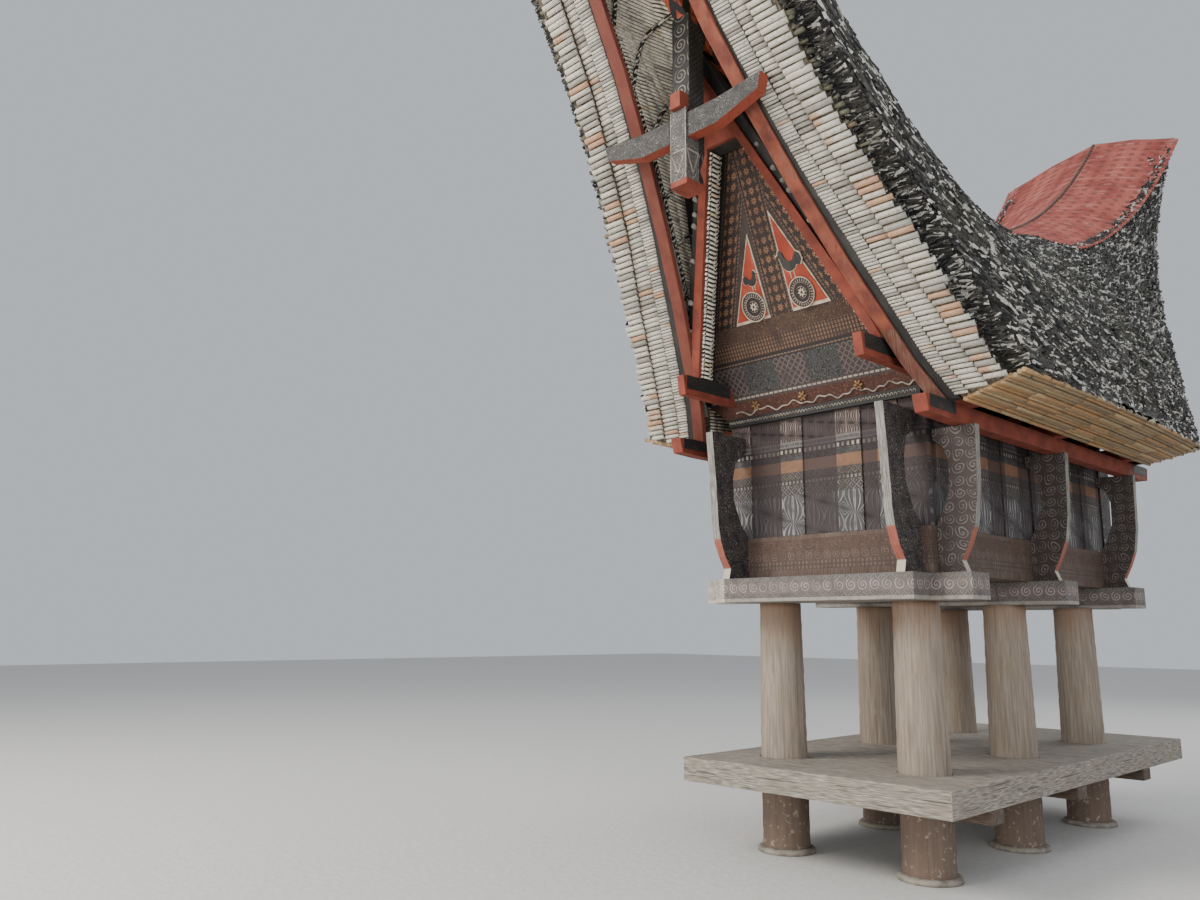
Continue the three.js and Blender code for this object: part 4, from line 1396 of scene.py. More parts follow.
@dataclass
class Chamber:
    """Sills, plinth, carved walls and scroll fins of the store."""

    finishes: Finishes

    def build(self) -> None:
        """Refines every timber of the chamber with its carving."""
        grey, brown = rgb(150, 146, 140), rgb(66, 54, 50)
        sill_bands = (
            Band(1.745, 1.771, Motif.PLAIN, 0.05, grey, rgb(150, 144, 134)),
            Band(1.771, 1.8, Motif.WEAVE, 0.024, rgb(150, 142, 134), rgb(84, 76, 72)),
            Band(1.8, 1.88, Motif.SCROLLS, 0.088, rgb(186, 174, 168), rgb(108, 94, 90)),
            Band(1.88, 1.912, Motif.WEAVE, 0.03, rgb(138, 132, 126), rgb(96, 90, 86)),
        )
        plinth_bands = (
            Band(1.975, 2.035, Motif.SQUARES, 0.032, rgb(116, 98, 86), rgb(74, 60, 52)),
            Band(2.035, 2.11, Motif.SCROLLS, 0.075, rgb(136, 114, 100), rgb(80, 62, 54)),
            Band(2.11, 2.19, Motif.CURLS, 0.04, rgb(124, 100, 86), rgb(84, 64, 54)),
        )
        wall_bands = (
            Band(2.222, 2.512, Motif.LEAVES, 0.17, rgb(168, 166, 162), rgb(66, 66, 70)),
            Band(2.512, 2.589, Motif.WEAVE, 0.03, rgb(140, 136, 130), rgb(58, 54, 52)),
            Band(2.589, 2.628, Motif.SQUARES, 0.032, rgb(150, 144, 134), rgb(50, 45, 44)),
            Band(2.628, 2.682, Motif.WEAVE, 0.026, rgb(128, 120, 112), rgb(60, 54, 50)),
            Band(2.682, 2.769, Motif.PLAIN, 0.05, grey, rgb(132, 94, 68)),
            Band(2.769, 2.817, Motif.CURLS, 0.02, rgb(140, 138, 134), rgb(66, 64, 64)),
            Band(2.817, 2.864, Motif.SQUARES, 0.04, rgb(196, 184, 170), BLACK),
            Band(2.864, 2.912, Motif.DASHES, 0.045, rgb(70, 68, 68), rgb(112, 108, 106)),
            Band(2.912, 3.075, Motif.LEAVES, 0.085, rgb(186, 164, 154), rgb(50, 38, 38)),
        )
        boards = ((-0.625, -0.352), (-0.159, 0.123), (0.322, 0.444), (0.605, 0.8))
        end_wall = CarvedTimber("end_wall_carving", wall_bands, Axis.ACROSS, dark_boards=boards).material()
        side_wall = CarvedTimber("side_wall_carving", wall_bands, Axis.ALONG, repeat=0.52).material()
        plinth_end = CarvedTimber("plinth_carving", plinth_bands, Axis.ROUND, rgb(108, 86, 74),
                                  rgb(68, 54, 46), rgb(104, 90, 80)).material()
        plain_sill = CarvedTimber("sill_carving", sill_bands, Axis.ROUND, rgb(140, 134, 126), rgb(92, 86, 80),
                                  rgb(126, 118, 108))
        sills = {"front": replace(plain_sill, name="front_sill_carving", head=0.709).material()}
        sills["mid"] = sills["rear"] = plain_sill.material()
        for end in END_NAMES:
            refine(f"wall_{end}_carved", f"wall_{end}", end_wall, UPRIGHT, 0.002)
        for side in SIDE_NAMES:
            refine(f"wall_{side}_carved", f"wall_{side}", side_wall, UPRIGHT, 0.002)
        refine("plinth_carved", "plinth_frame", plinth_end, CROSSWISE, 0.004)
        refine("store_floor_boards", "store_floor", self.finishes.dark, CROSSWISE, 0.002)
        for row in ROW_NAMES:
            refine(f"sill_{row}_carved", f"sill_beam_{row}", sills[row], CROSSWISE, 0.005)
        self.fins(brown)

    def fins(self, ground: Colour) -> None:
        """Refines the scroll fins of the corners and sides.

        Args:
            ground: ground colour of the side fins.
        """
        end_fin = AllOverCarving("end_fin_carving", Motif.CURLS, 0.045, rgb(120, 110, 104), rgb(34, 29, 28),
                                 rgb(158, 154, 146), True).material()
        side_fin = AllOverCarving("side_fin_carving", Motif.SCROLLS, 0.085, rgb(118, 112, 106), ground,
                                  rgb(152, 148, 140), True).material()
        fins = (("fin", END_NAMES, end_fin, (1, 0, 0)), ("side_fin", ROW_NAMES, side_fin, (0, 1, 0)))
        for side in SIDE_NAMES:
            for kind, rows, finish, thin in fins:
                for row in rows:
                    node = f"{kind}_{row}_{side}"
                    refine(node + "_carved", node, finish, UPRIGHT, 0.003, thin)


@dataclass
class EaveFrame:
    """Painted eave beams and purlins, with their black upper halves.

    Each row of blocks gives the place across, both ends along, the height, the width and the depth.
    """

    finishes: Finishes
    beam_x: float = 0.94
    blocks: tuple = ((0.7325, 1.7, 2.2, 3.332, 0.069, 0.1), (0.998, 1.62, 1.955, 2.942, 0.1, 0.08))

    def build(self) -> None:
        """Refines the beams and adds the black blocks on their ends."""
        refine("eave_beams_painted", "eave_frame", self.finishes.red,
               turning(self.beam_x), 0.005)
        for side in SIDE_NAMES:
            refine(f"purlin_{side}_painted", f"purlin_{side}", self.finishes.red,
                   LENGTHWISE, 0.005)
        black = Shape()
        for end in ENDS:
            for side in SIDES:
                for x, start, stop, z, width, depth in self.blocks:
                    black.bar((side * x, end * start, z), (side * x, end * stop, z), (1, 0, 0), width, depth)
        black.place("beam_black_blocks", LENGTHWISE, self.finishes.black, "blackened_wood")


@dataclass
class Gable:
    """Leaning carved gable between its V rafters, with painted triangles, sun discs and roosters."""

    finishes: Finishes
    foot_y: float = 1.58
    foot_z: float = 3.15
    lean: float = 0.505
    front_y: float = 2.09
    front_z: float = 3.5
    front_lean: float = 0.42
    rafter_rate: float = 0.44
    edge_rate: float = 0.43
    edge_top: float = 5.07
    triangles: tuple = (((-0.470, 3.767), (-0.161, 3.767), (-0.147, 4.319)),
                        ((0.033, 3.767), (0.344, 3.767), (0.069, 4.414)))
    discs: tuple = ((-0.264, 3.862), (0.153, 3.867))
    disc_sides: int = 48
    disc_profile: tuple = ((0.0, 0.024), (0.03, 0.022), (0.036, 0.026), (0.04, 0.02), (0.06, 0.02),
                           (0.066, 0.025), (0.07, 0.02), (0.09, 0.02), (0.095, 0.026), (0.1, 0.024),
                           (0.1, 0.006))
    arch_pitch: float = 0.0275
    arch_steps: int = 7
    arch_reach: float = 0.78
    arch_place: tuple[float, float] = (1.597, 3.107)
    vine: float = 0.006
    flowers: tuple = (-0.52, -0.1, 0.36)
    peg_heights: tuple = (3.72, 3.9, 4.16, 4.37, 4.44, 4.53, 4.7)
    rooster: tuple = ((0.0, 0.045), (0.035, 0.055), (0.055, 0.078), (0.085, 0.07), (0.106, 0.1), (0.1, 0.14),
                      (0.075, 0.158), (0.052, 0.135), (0.035, 0.112), (0.0, 0.108), (-0.025, 0.135),
                      (-0.034, 0.17), (-0.048, 0.19), (-0.064, 0.182), (-0.07, 0.165), (-0.09, 0.155),
                      (-0.068, 0.145), (-0.062, 0.12), (-0.055, 0.08), (-0.03, 0.052))

    def spot(self, x: float, z: float, out: float, end: int) -> Vector:
        """Point a little way out from the face of the gable.

        Args:
            x: place across.
            z: height on the face.
            out: distance off the face.
            end: -1 for the front and 1 for the rear.

        Returns:
            The point.
        """
        size = math.hypot(1.0, self.lean)
        y = self.foot_y + self.lean * (z - self.foot_z)
        return Vector((x, end * (y + out / size), z - out * self.lean / size))

    def lift(self, back: float, front: float, end: int) -> Vector:
        """Step from one distance out of the gable's face to another."""
        return self.spot(0, self.front_z, front, end) - self.spot(0, self.front_z, back, end)

    def build(self) -> None:
        """Builds the gable of each end."""
        carving = GableCarving().material()
        for end in END_NAMES:
            refine(f"gable_{end}_carved", f"gable_{end}", carving, UPRIGHT, 0.002)
            refine(f"gable_rafters_{end}_hewn", f"gable_rafters_{end}", self.finishes.black,
                   raking(self.front_lean, self.rafter_rate), 0.004)
            refine(f"gable_facing_{end}_painted", f"gable_facing_{end}", self.finishes.red,
                   raking(self.front_lean, self.rafter_rate), 0.004)
        self.painted_triangles()
        self.sun_discs()
        self.roosters()
        self.moulding()
        self.lattice()
        self.knobs()

    def painted_triangles(self) -> None:
        """Adds the terracotta triangles in their cream frames."""
        ground, frames = Shape(), Shape()
        for end in ENDS:
            for corners in self.triangles:
                centre = [sum(c[k] for c in corners) / 3 for k in (0, 1)]
                for shape, grow, out in ((frames, 1.0, 0.007), (ground, 0.9, 0.0115)):
                    outline = [self.spot(centre[0] + (x - centre[0]) * grow,
                                         centre[1] + (z - centre[1]) * grow, -0.003, end) for x, z in corners]
                    shape.plate(outline, self.lift(-0.003, out, end))
        frames.place("triangle_frames", UPRIGHT, self.finishes.cream, "carved_wood")
        ground.place("triangle_grounds", UPRIGHT, self.finishes.terracotta, "carved_wood")

    def sun_discs(self) -> None:
        """Adds the carved sun discs as turned rings."""
        profile, sides = self.disc_profile, self.disc_sides
        mesh = bpy.data.meshes.new("discs")
        body = bmesh.new()
        layer = body.loops.layers.uv.new("grain")
        for end in ENDS:
            for x, z in self.discs:
                rings = []
                for radius, out in profile:
                    ring = []
                    for s in range(sides if radius else 1):
                        turn = math.tau * s / sides
                        place = self.spot(x + radius * math.cos(turn), z + radius * math.sin(turn), out, end)
                        ring.append(body.verts.new(place))
                    rings.append(ring)
                for k in range(len(rings) - 1):
                    for s in range(sides):
                        inner, outer, nxt = rings[k], rings[k + 1], (s + 1) % sides
                        corners = [inner[0], outer[s], outer[nxt]] if k == 0 else \
                            [inner[s], outer[s], outer[nxt], inner[nxt]]
                        radii = [profile[k][0], profile[k + 1][0], profile[k + 1][0], profile[k][0]]
                        turns = [s, s, s + 1, s + 1] if k else [s + 0.5, s, s + 1]
                        if end > 0:
                            corners.reverse()
                        face = body.faces.new(corners)
                        pairs = list(zip(radii, turns))[:len(corners)]
                        for loop, (radius, turn) in zip(face.loops, pairs[::-1] if end > 0 else pairs):
                            loop[layer].uv = (radius, turn / sides)
        body.to_mesh(mesh)
        body.free()
        place_piece("sun_discs", mesh, SunDisc().material())

    def roosters(self) -> None:
        """Adds a dark rooster with a pale outline above each disc."""
        dark, pale = Shape(), Shape()
        for end in ENDS:
            for (x, z), flip, scale, shift in zip(self.discs, (-1, 1), (0.66, 0.98), (0.045, -0.035)):
                x, z = x + shift, z + 0.1
                for leg in (-0.014, 0.018):
                    feet = [(leg - 0.004, 0.0), (leg + 0.004, 0.0), (leg + 0.003, 0.06), (leg - 0.003, 0.06)]
                    outline = [self.spot(x + a * scale * flip, z + b * scale, 0.006, end) for a, b in feet]
                    pale.plate(outline, self.lift(0.006, 0.0145, end))
                for shape, grow, out in ((pale, 1.1, 0.0145), (dark, 1.0, 0.0185)):
                    outline = []
                    for a, b in self.rooster:
                        w = 0.108 + (b - 0.108) * grow
                        outline.append(self.spot(x + a * grow * scale * flip, z + w * scale, 0.006, end))
                    shape.plate(outline, self.lift(0.006, out, end))
        pale.place("rooster_outlines", UPRIGHT, self.finishes.cream, "carved_wood")
        dark.place("roosters", UPRIGHT, self.finishes.black, "carved_wood")

    def moulding(self) -> None:
        """Adds the row of small arches, and the carved vine above it."""
        arch = Shape()
        box = [(0, 1, 3, 2), (4, 6, 7, 5), (0, 4, 5, 1), (2, 3, 7, 6), (1, 5, 7, 3), (0, 2, 6, 4)]
        for k in range(self.arch_steps):
            turns = [math.pi * j / self.arch_steps for j in (k, k + 1)]
            ring = [(r * math.cos(t), h, r * math.sin(t)) for t in turns for r in (0.39, 0.5)
                    for h in (-0.4, 0.4)]
            arch.add(ring, box)
        shape = arch.mesh("arch", CROSSWISE)
        spots = Spots()
        for end in ENDS:
            xs = np.arange(-self.arch_reach, self.arch_reach + 0.001, self.arch_pitch)
            y, z = self.arch_place
            place = np.stack([xs, np.full_like(xs, end * y), np.full_like(xs, z)], 1)
            spots.add(place, (-end, 0, 0), (0, 0, 1), (0.022, 0.008, 0.042))
        Layer.lay("moulding_arches", shape, spots, self.finishes.faint, "carved_wood")
        vine, flowers = Shape(), Spots()
        for end in ENDS:
            xs = np.linspace(-0.72, 0.78, 120)
            path = [self.spot(x, 3.185 + 0.014 * math.sin(x * 24) + 0.008 * math.sin(x * 61 + x * x * 9),
                              0.004, end) for x in xs]
            vine.tube(path, [self.vine] * len(path), 6)
            for x in self.flowers:
                for turn in np.linspace(0, math.tau, 7)[:-1]:
                    centre = self.spot(x + 0.02 * math.cos(turn), 3.222 + 0.02 * math.sin(turn), 0.008, end)
                    flowers.add(np.array(centre), (math.cos(turn), 0, math.sin(turn)), (0, end, 0),
                                (0.03, 0.009, 0.006))
        vine.place("carved_vine", CROSSWISE, self.finishes.faint, "carved_wood", True)
        yellow = ground_finish("flower_paint", rgb(146, 112, 74), rgb(112, 80, 58))
        Layer.lay("vine_flowers", culm_shape("petal", 6, 0), flowers, yellow, "carved_wood")

    def inner_edge(self, z: np.ndarray) -> np.ndarray:
        """Half width of the opening between the V rafters."""
        return self.edge_rate * (self.edge_top - z)

    def leaning(self, z: np.ndarray, back: float) -> np.ndarray:
        """Place along the house of the V's front, or so far behind it."""
        return self.front_y + self.front_lean * (z - self.front_z) - back

    def lattice(self) -> None:
        """Adds the bound bamboo that lines the V's inner faces."""
        slats, ties = Spots(), Shape()
        zs, edge = np.arange(3.405, 4.78, 0.0285), np.linspace(3.4, 4.78, 30)
        for end in ENDS:
            for side in SIDES:
                place = np.stack([side * (self.inner_edge(zs) - 0.004), end * self.leaning(zs, 0.09), zs], 1)
                slats.add(place, (0, 1, 0), (-side, 0, -self.edge_rate), (0.116, 0.0092, 0.008))
                for back in (0.047, 0.134):
                    path = np.stack([side * (self.inner_edge(edge) + 0.001), end * self.leaning(edge, back),
                                     edge], 1)
                    ties.tube(path, [0.014] * len(path), 8)
        Layer.lay("lattice_slats", culm_shape("lattice_slat", 6, 0), slats, self.finishes.slat,
                  "split_bamboo", (0.02, 0.02, 0.02), 0.06, 3)
        ties.place("lattice_ties", raking(self.front_lean, self.edge_rate), self.finishes.lattice_tie,
                   "split_bamboo")

    def knobs(self) -> None:
        """Adds the round peg ends on the black outer strip of the V."""
        spots = Spots()
        zs = np.array(self.peg_heights)
        xs = (0.447 * (5.2 - zs) + 0.44 * (5.37 - zs)) / 2
        for end in ENDS:
            for side in SIDES:
                place = np.stack([side * xs, end * self.leaning(zs, 0.028), zs], 1)
                spots.add(place, (0, end, 0), (0, 0, 1), (0.05, 0.016, 0.016))
        Layer.lay("rafter_pegs", culm_shape("peg", 12, 0), spots, self.finishes.grey, "weathered_board",
                  (0.06, 0.06, 0.06), 0.2, 5)


@dataclass
class Ceiling:
    """Bamboo ceiling under the overhangs, its bound battens, the ridge pole and the hung king posts."""

    finishes: Finishes
    first: float = 0.46
    last: float = 0.828
    pitch: float = 0.0225
    slat: float = 0.0088
    batten: float = 0.0155
    tie: float = 0.011
    fine_slat: float = 0.007
    fine_pitch: float = 0.0055
    fine_count: int = 12
    post_half: float = 0.075
    rates: tuple = ((1.5, 0.5), (2, 1.5), (2.5, 2.2), (3, 2.9), (3.5, 3.5), (4, 4.1), (4.5, 4.7), (5, 5.1),
                    (5.5, 5.8), (6, 6.7), (6.5, 7.4), (7, 9.0), (7.9, 9.7), (8, 8.6), (8.9, 8.7), (9, 29.0),
                    (9.5, 30.0))
    crossings: tuple = ((2.79, 4.9, 0.5), (3.75, 6.6, 0.5), (4.52, 8.8, 0.47), (5.41, 9.3, 0.575),
                        (6.2, 9.3, 0.68), (7.05, 9.3, 0.755), (7.9, 9.3, 0.82))
    panel_bars: tuple = (((0.02, 3.079, 4.835), (0.02, 3.079, 4.352), (1, 0, 0), 0.132, 0.012),
                         ((0.02, 3.017, 4.652), (0.02, 3.017, 4.352), (1, 0, 0), 0.128, 0.112))
    line_bars: tuple = (((-0.043, 3.084, 4.835), (-0.043, 3.084, 4.352), (1, 0, 0), 0.0055, 0.007),
                        ((-0.043, 3.084, 4.55), (0.02, 3.084, 4.4), (1, 0, 0), 0.0055, 0.007),
                        ((0.083, 3.084, 4.835), (0.083, 3.084, 4.352), (1, 0, 0), 0.0055, 0.007),
                        ((0.083, 3.084, 4.55), (0.02, 3.084, 4.4), (1, 0, 0), 0.0055, 0.007),
                        ((-0.043, 3.084, 4.55), (0.083, 3.084, 4.55), (0, 0, 1), 0.0055, 0.007),
                        ((0.085, 2.966, 4.55), (0.085, 3.02, 4.4), (0, 1, 0), 0.007, 0.006),
                        ((0.085, 3.078, 4.55), (0.085, 3.02, 4.4), (0, 1, 0), 0.007, 0.006),
                        ((0.085, 2.966, 4.55), (0.085, 3.08, 4.55), (0, 0, 1), 0.008, 0.006))
    peg_bars: tuple = (((0.02, 2.96, 4.895), (0.02, 3.115, 4.895), (1, 0, 0), 0.085, 0.11),
                       ((0.02, 2.9, 4.333), (0.02, 3.085, 4.333), (1, 0, 0), 0.136, 0.038),
                       ((-0.02, 3.67, 6.02), (-0.02, 3.82, 6.02), (1, 0, 0), 0.085, 0.1))

    def build(self) -> None:
        """Builds the slats, the battens, the pole and the posts."""
        self.slats()
        self.battens()
        self.pole()
        self.king_posts()

    def slats(self) -> None:
        """Lays straight level slats from the ends back to the ridge pole, and fine ones along the ends."""
        spots, fine = Spots(), Spots()
        steps = np.linspace(0.6, 9.4, 180)
        heights = ROOF.point(0.0, steps, self.last)[:, 2]
        starts = np.interp(np.arange(heights[0], heights[-1], self.pitch), heights, steps)
        rates = np.interp(steps, [s for s, _ in self.rates], [r for _, r in self.rates])
        run = np.concatenate([[0.0], np.cumsum(np.diff(steps) / (rates[1:] + rates[:-1]) * 2)])
        for end in ENDS:
            for side in SIDES:
                for start in starts:
                    begun = np.interp(start, steps, run)
                    stop = min(9.4, np.interp(begun + self.last - self.first, run, steps))
                    step = np.linspace(start, stop, 9)
                    path = ROOF.point(0.0, step, end * (self.last - np.interp(step, steps, run) + begun),
                                      side)
                    self.lay_between(spots, path[:-1], path[1:], side, self.slat)
                for v in self.last + 0.018 + self.fine_pitch * np.arange(self.fine_count):
                    path = ROOF.point(0.0, np.linspace(1.0, 9.0, 18), end * v, side)
                    self.lay_between(fine, path[:-1], path[1:], side, self.fine_slat)
        one = culm_shape("slat", 6, 0)
        Layer.lay("ceiling_slats", one, spots, self.finishes.slat, "split_bamboo", (0.03, 0.006, 0.006), 0.02,
                  7)
        Layer.lay("edge_slats", one, fine, self.finishes.culm, "split_bamboo", (0.03, 0.004, 0.004), 0.02, 8)

    def lay_between(self, spots: Spots, one: np.ndarray, two: np.ndarray, side: int, radius: float) -> None:
        """Adds round pieces between pairs of points, just under the ceiling.

        Args:
            spots: where they are gathered.
            one: first ends as rows.
            two: second ends as rows.
            side: side of the house.
            radius: radius of each piece.
        """
        run = two - one
        length = np.linalg.norm(run, axis=1, keepdims=True)
        inward = np.array([-side * 0.8, 0.0, -0.6])
        size = np.concatenate([length * 1.04, np.full_like(length, radius),
                               np.full_like(length, radius * 0.7)], 1)
        spots.add((one + two) / 2 + inward * radius * 0.5, run, inward, size)

    def battens(self) -> None:
        """Adds the black and white bound battens along the ends and across the ceiling."""
        shape = Shape()
        for end in ENDS:
            for side in SIDES:
                inward = np.array([-side * 0.8, 0.0, -0.6]) * 0.022
                rail = ROOF.point(0.0, np.linspace(1.4, 9.2, 26), end * (self.last + 0.009), side) + inward
                shape.tube(rail, [self.batten] * len(rail), 8)
                for low, high, v_high in self.crossings:
                    share = np.linspace(0, 1, 14)
                    step, v = low + (high - low) * share, self.last + (v_high - self.last) * share
                    path = ROOF.point(0.0, step, end * v, side) + inward
                    path = (path + np.linspace(path[0], path[-1], len(path))) / 2
                    shape.tube(path, [self.batten] * len(path), 8)
                    tie = ROOF.point(0.0, low - 0.1 * share, end * (self.last + 0.045 * share),
                                     side) + inward * 0.8
                    shape.tube(tie, [self.tie] * len(tie), 6)
        shape.place("bound_battens", UPRIGHT, self.finishes.batten, "split_bamboo", True)

    def pole(self) -> None:
        """Refines the ridge pole with its painted arrows."""
        paint = Paint("arrow_paint")
        x, y, z = paint.place()
        fold = ((abs(y) + abs(x) * 1.6) / 0.15) % 1.0
        arrow = fold.within(0.0, 0.5, 0.03)
        worn = paint.noise((x, y, z), 20.0, 3.0).rise(0.3, 0.6)
        finish = paint.done(paint.mix(arrow * worn, BLACK, rgb(186, 84, 50)), 0.65, arrow, 0.002)
        refine("ridge_pole_painted", "ridge_pole", finish, LENGTHWISE, 0.004)

    def bars(self, rows: Sequence[tuple]) -> Shape:
        """Makes bars at both ends.

        Args:
            rows: start, end, side, width and height of each bar of the rear end.

        Returns:
            The bars.
        """
        shape = Shape()
        for end in ENDS:
            for (x, y, z), (to_x, to_y, to_z), side, width, height in rows:
                shape.bar((x, end * y, z), (to_x, end * to_y, to_z), side, width, height)
        return shape

    def king_posts(self) -> None:
        """Refines the king posts, and adds their pegs, their hung front panels and painted feet."""
        carving = HungPostCarving().material()
        for end in END_NAMES:
            for part in ("", "_outer"):
                node = f"king_post_{end}{part}"
                refine(node + "_carved", node, carving,
                       lambda c: (UPRIGHT if abs(c.x) < self.post_half else CROSSWISE)(c), 0.003)
        panel = AllOverCarving("hung_panel_carving", Motif.CURLS, 0.05, rgb(148, 143, 135), rgb(74, 69, 66),
                               rgb(150, 148, 142)).material()
        self.bars(self.panel_bars).place("king_post_panels", UPRIGHT, panel, "weathered_board")
        self.bars(self.line_bars).place("king_post_lines", UPRIGHT, self.finishes.faint, "weathered_board")
        self.bars(self.peg_bars).place("king_post_pegs", LENGTHWISE, self.finishes.red, "red_painted_wood")


@dataclass
class RoofEnds:
    """Boards and stacked bamboo of the leaning roof ends and the eaves."""

    finishes: Finishes
    lines: tuple = (((3.0, -0.05), (3.9, -0.05), (4.5, -0.11), (5.2, -0.14)),
                    ((3.0, 0.16), (3.9, 0.155), (4.5, 0.105), (7.0, 0.11)),
                    ((3.0, 0.48), (3.9, 0.46), (4.4, 0.37), (5.2, 0.31), (7.0, 0.31)),
                    ((3.0, 0.79), (3.8, 0.81), (4.4, 0.74), (4.7, 0.7), (5.4, 0.68), (7.0, 0.68)))
    rows: tuple = ((0.0185, 3.0, 0.0, 0.012), (0.029, 3.02, 0.008, -0.002), (0.036, 3.05, 0.0, 0.0))
    rake: float = 0.25
    row_top: float = 6.88
    gap: tuple[float, float] = (0.001, 0.005)
    ragged: tuple[float, float] = (-0.03, 0.015)
    stub_from: float = 4.3
    stub_top: float = 7.0
    stub_pitch: float = 0.042
    stub_length: tuple[float, float] = (0.03, 0.08)
    stub_radius: tuple[float, float] = (0.009, 0.019)
    rod_rows: int = 15
    rod_joints: int = 8
    rod_reach: float = 0.985
    rod_radius: float = 0.0155

    def build(self) -> None:
        """Builds the verge boards, the culm rows and the eave rods."""
        for end in END_NAMES:
            refine(f"verge_rafters_{end}_hewn", f"verge_rafters_{end}", self.finishes.black,
                   raking(ROOF.lean, self.rake), 0.004)
            refine(f"barge_boards_{end}_painted", f"barge_boards_{end}", self.finishes.worn,
                   raking(ROOF.lean, self.rake), 0.004)
        body = Underlay("bamboo_body", rgb(120, 108, 88), rgb(52, 46, 38)).material()
        for layer in range(1, 5):
            dress(f"bamboo_layer_{layer}", body)
        self.verge_culms()
        self.eave_rods()

    def line(self, which: int, z: np.ndarray) -> np.ndarray:
        """Half width of one of the four lines between the rows.

        Args:
            which: number of the line, from the inside.
            z: heights on the end.

        Returns:
            The half widths.
        """
        inner, outer = ROOF.rim(0.0, 1.0, z)[:, 0], ROOF.rim(1.0, 1.0, z)[:, 0]
        share = np.interp(z, [h for h, _ in self.lines[which]], [s for _, s in self.lines[which]])
        return inner + (outer - inner) * share

    def verge_culms(self) -> None:
        """Lays three rows of split culms across each leaning end, with ragged stubs behind the last."""
        rng = np.random.default_rng(4)
        inner_rows, outer_rows, stubs = Spots(), Spots(), Spots()
        for end in ENDS:
            out = np.array([0.0, end, -ROOF.lean]) / math.hypot(1, ROOF.lean)
            for side in SIDES:
                for k, (pitch, low, share, back) in enumerate(self.rows):
                    z = np.arange(low + pitch / 2, self.row_top, pitch)
                    z += rng.uniform(-0.06, 0.06, len(z)) * pitch
                    inner = self.line(k, z) + rng.uniform(*self.gap, len(z))
                    outer = self.line(k + 1, z) - rng.uniform(*self.gap, len(z))
                    if k == 2:
                        outer += rng.uniform(*self.ragged, len(z))
                    radius = 0.585 * pitch * rng.uniform(0.88, 1.03, len(z))
                    y = end * (ROOF.verge(z) * (1 - share) - back)
                    place = np.stack([side * (inner + outer) / 2, y, z], 1)
                    size = np.stack([outer - inner, radius, radius * 0.8], 1)
                    (inner_rows if k < 2 else outer_rows).add(place, (side, 0, 0), out, size)
                z = np.arange(self.stub_from, self.stub_top, self.stub_pitch)
                z += rng.uniform(-0.016, 0.016, len(z))
                length = rng.uniform(*self.stub_length, len(z))
                x = self.line(3, z) + length / 2 - 0.02
                place = np.stack([side * x, end * (ROOF.verge(z) - 0.024), z], 1)
                radius = rng.uniform(*self.stub_radius, len(z))
                stubs.add(place, (side, 0, 0), out, np.stack([length, radius, radius], 1))
        half = culm_shape("culm", 8, 0, True)
        Layer.lay("verge_culms_inner", half, inner_rows, self.finishes.culm, "split_bamboo",
                  (0.1, 0.012, 0.012), 0.02, 9)
        Layer.lay("verge_culms_outer", half, outer_rows, self.finishes.warm_culm, "split_bamboo",
                  (0.1, 0.012, 0.012), 0.02, 10)
        Layer.lay("verge_stubs", culm_shape("stub", 6, 0), stubs, self.finishes.stub, "old_thatch",
                  (0.5, 0.12, 0.2), 0.1, 13)

    def eave_rods(self) -> None:
        """Lays rods along the underside of both eaves, in steps outwards."""
        spots = Spots()
        rng = np.random.default_rng(6)
        out = np.array([0.0, 0.0, -1.0])
        for side in SIDES:
            for row, depth in enumerate(np.linspace(0.05, 0.98, self.rod_rows)):
                edges = np.linspace(-self.rod_reach, self.rod_reach, self.rod_joints)
                edges[1:-1] += rng.uniform(-0.04, 0.04, self.rod_joints)[1:-1]
                one = ROOF.point(depth, 0.0, edges[:-1], side)
                two = ROOF.point(depth, 0.0, edges[1:], side)
                run = two - one
                length = np.linalg.norm(run, axis=1, keepdims=True)
                thick = np.full_like(length, self.rod_radius)
                place = (one + two) / 2 + out * (0.003 if row % 3 else 0.012)
                spots.add(place, run, out, np.concatenate([length, thick, thick], 1))
        Layer.lay("eave_rods", culm_shape("rod", 8, 3), spots, self.finishes.rod, "split_bamboo",
                  (0.2, 0.004, 0.004), 0.02, 12)


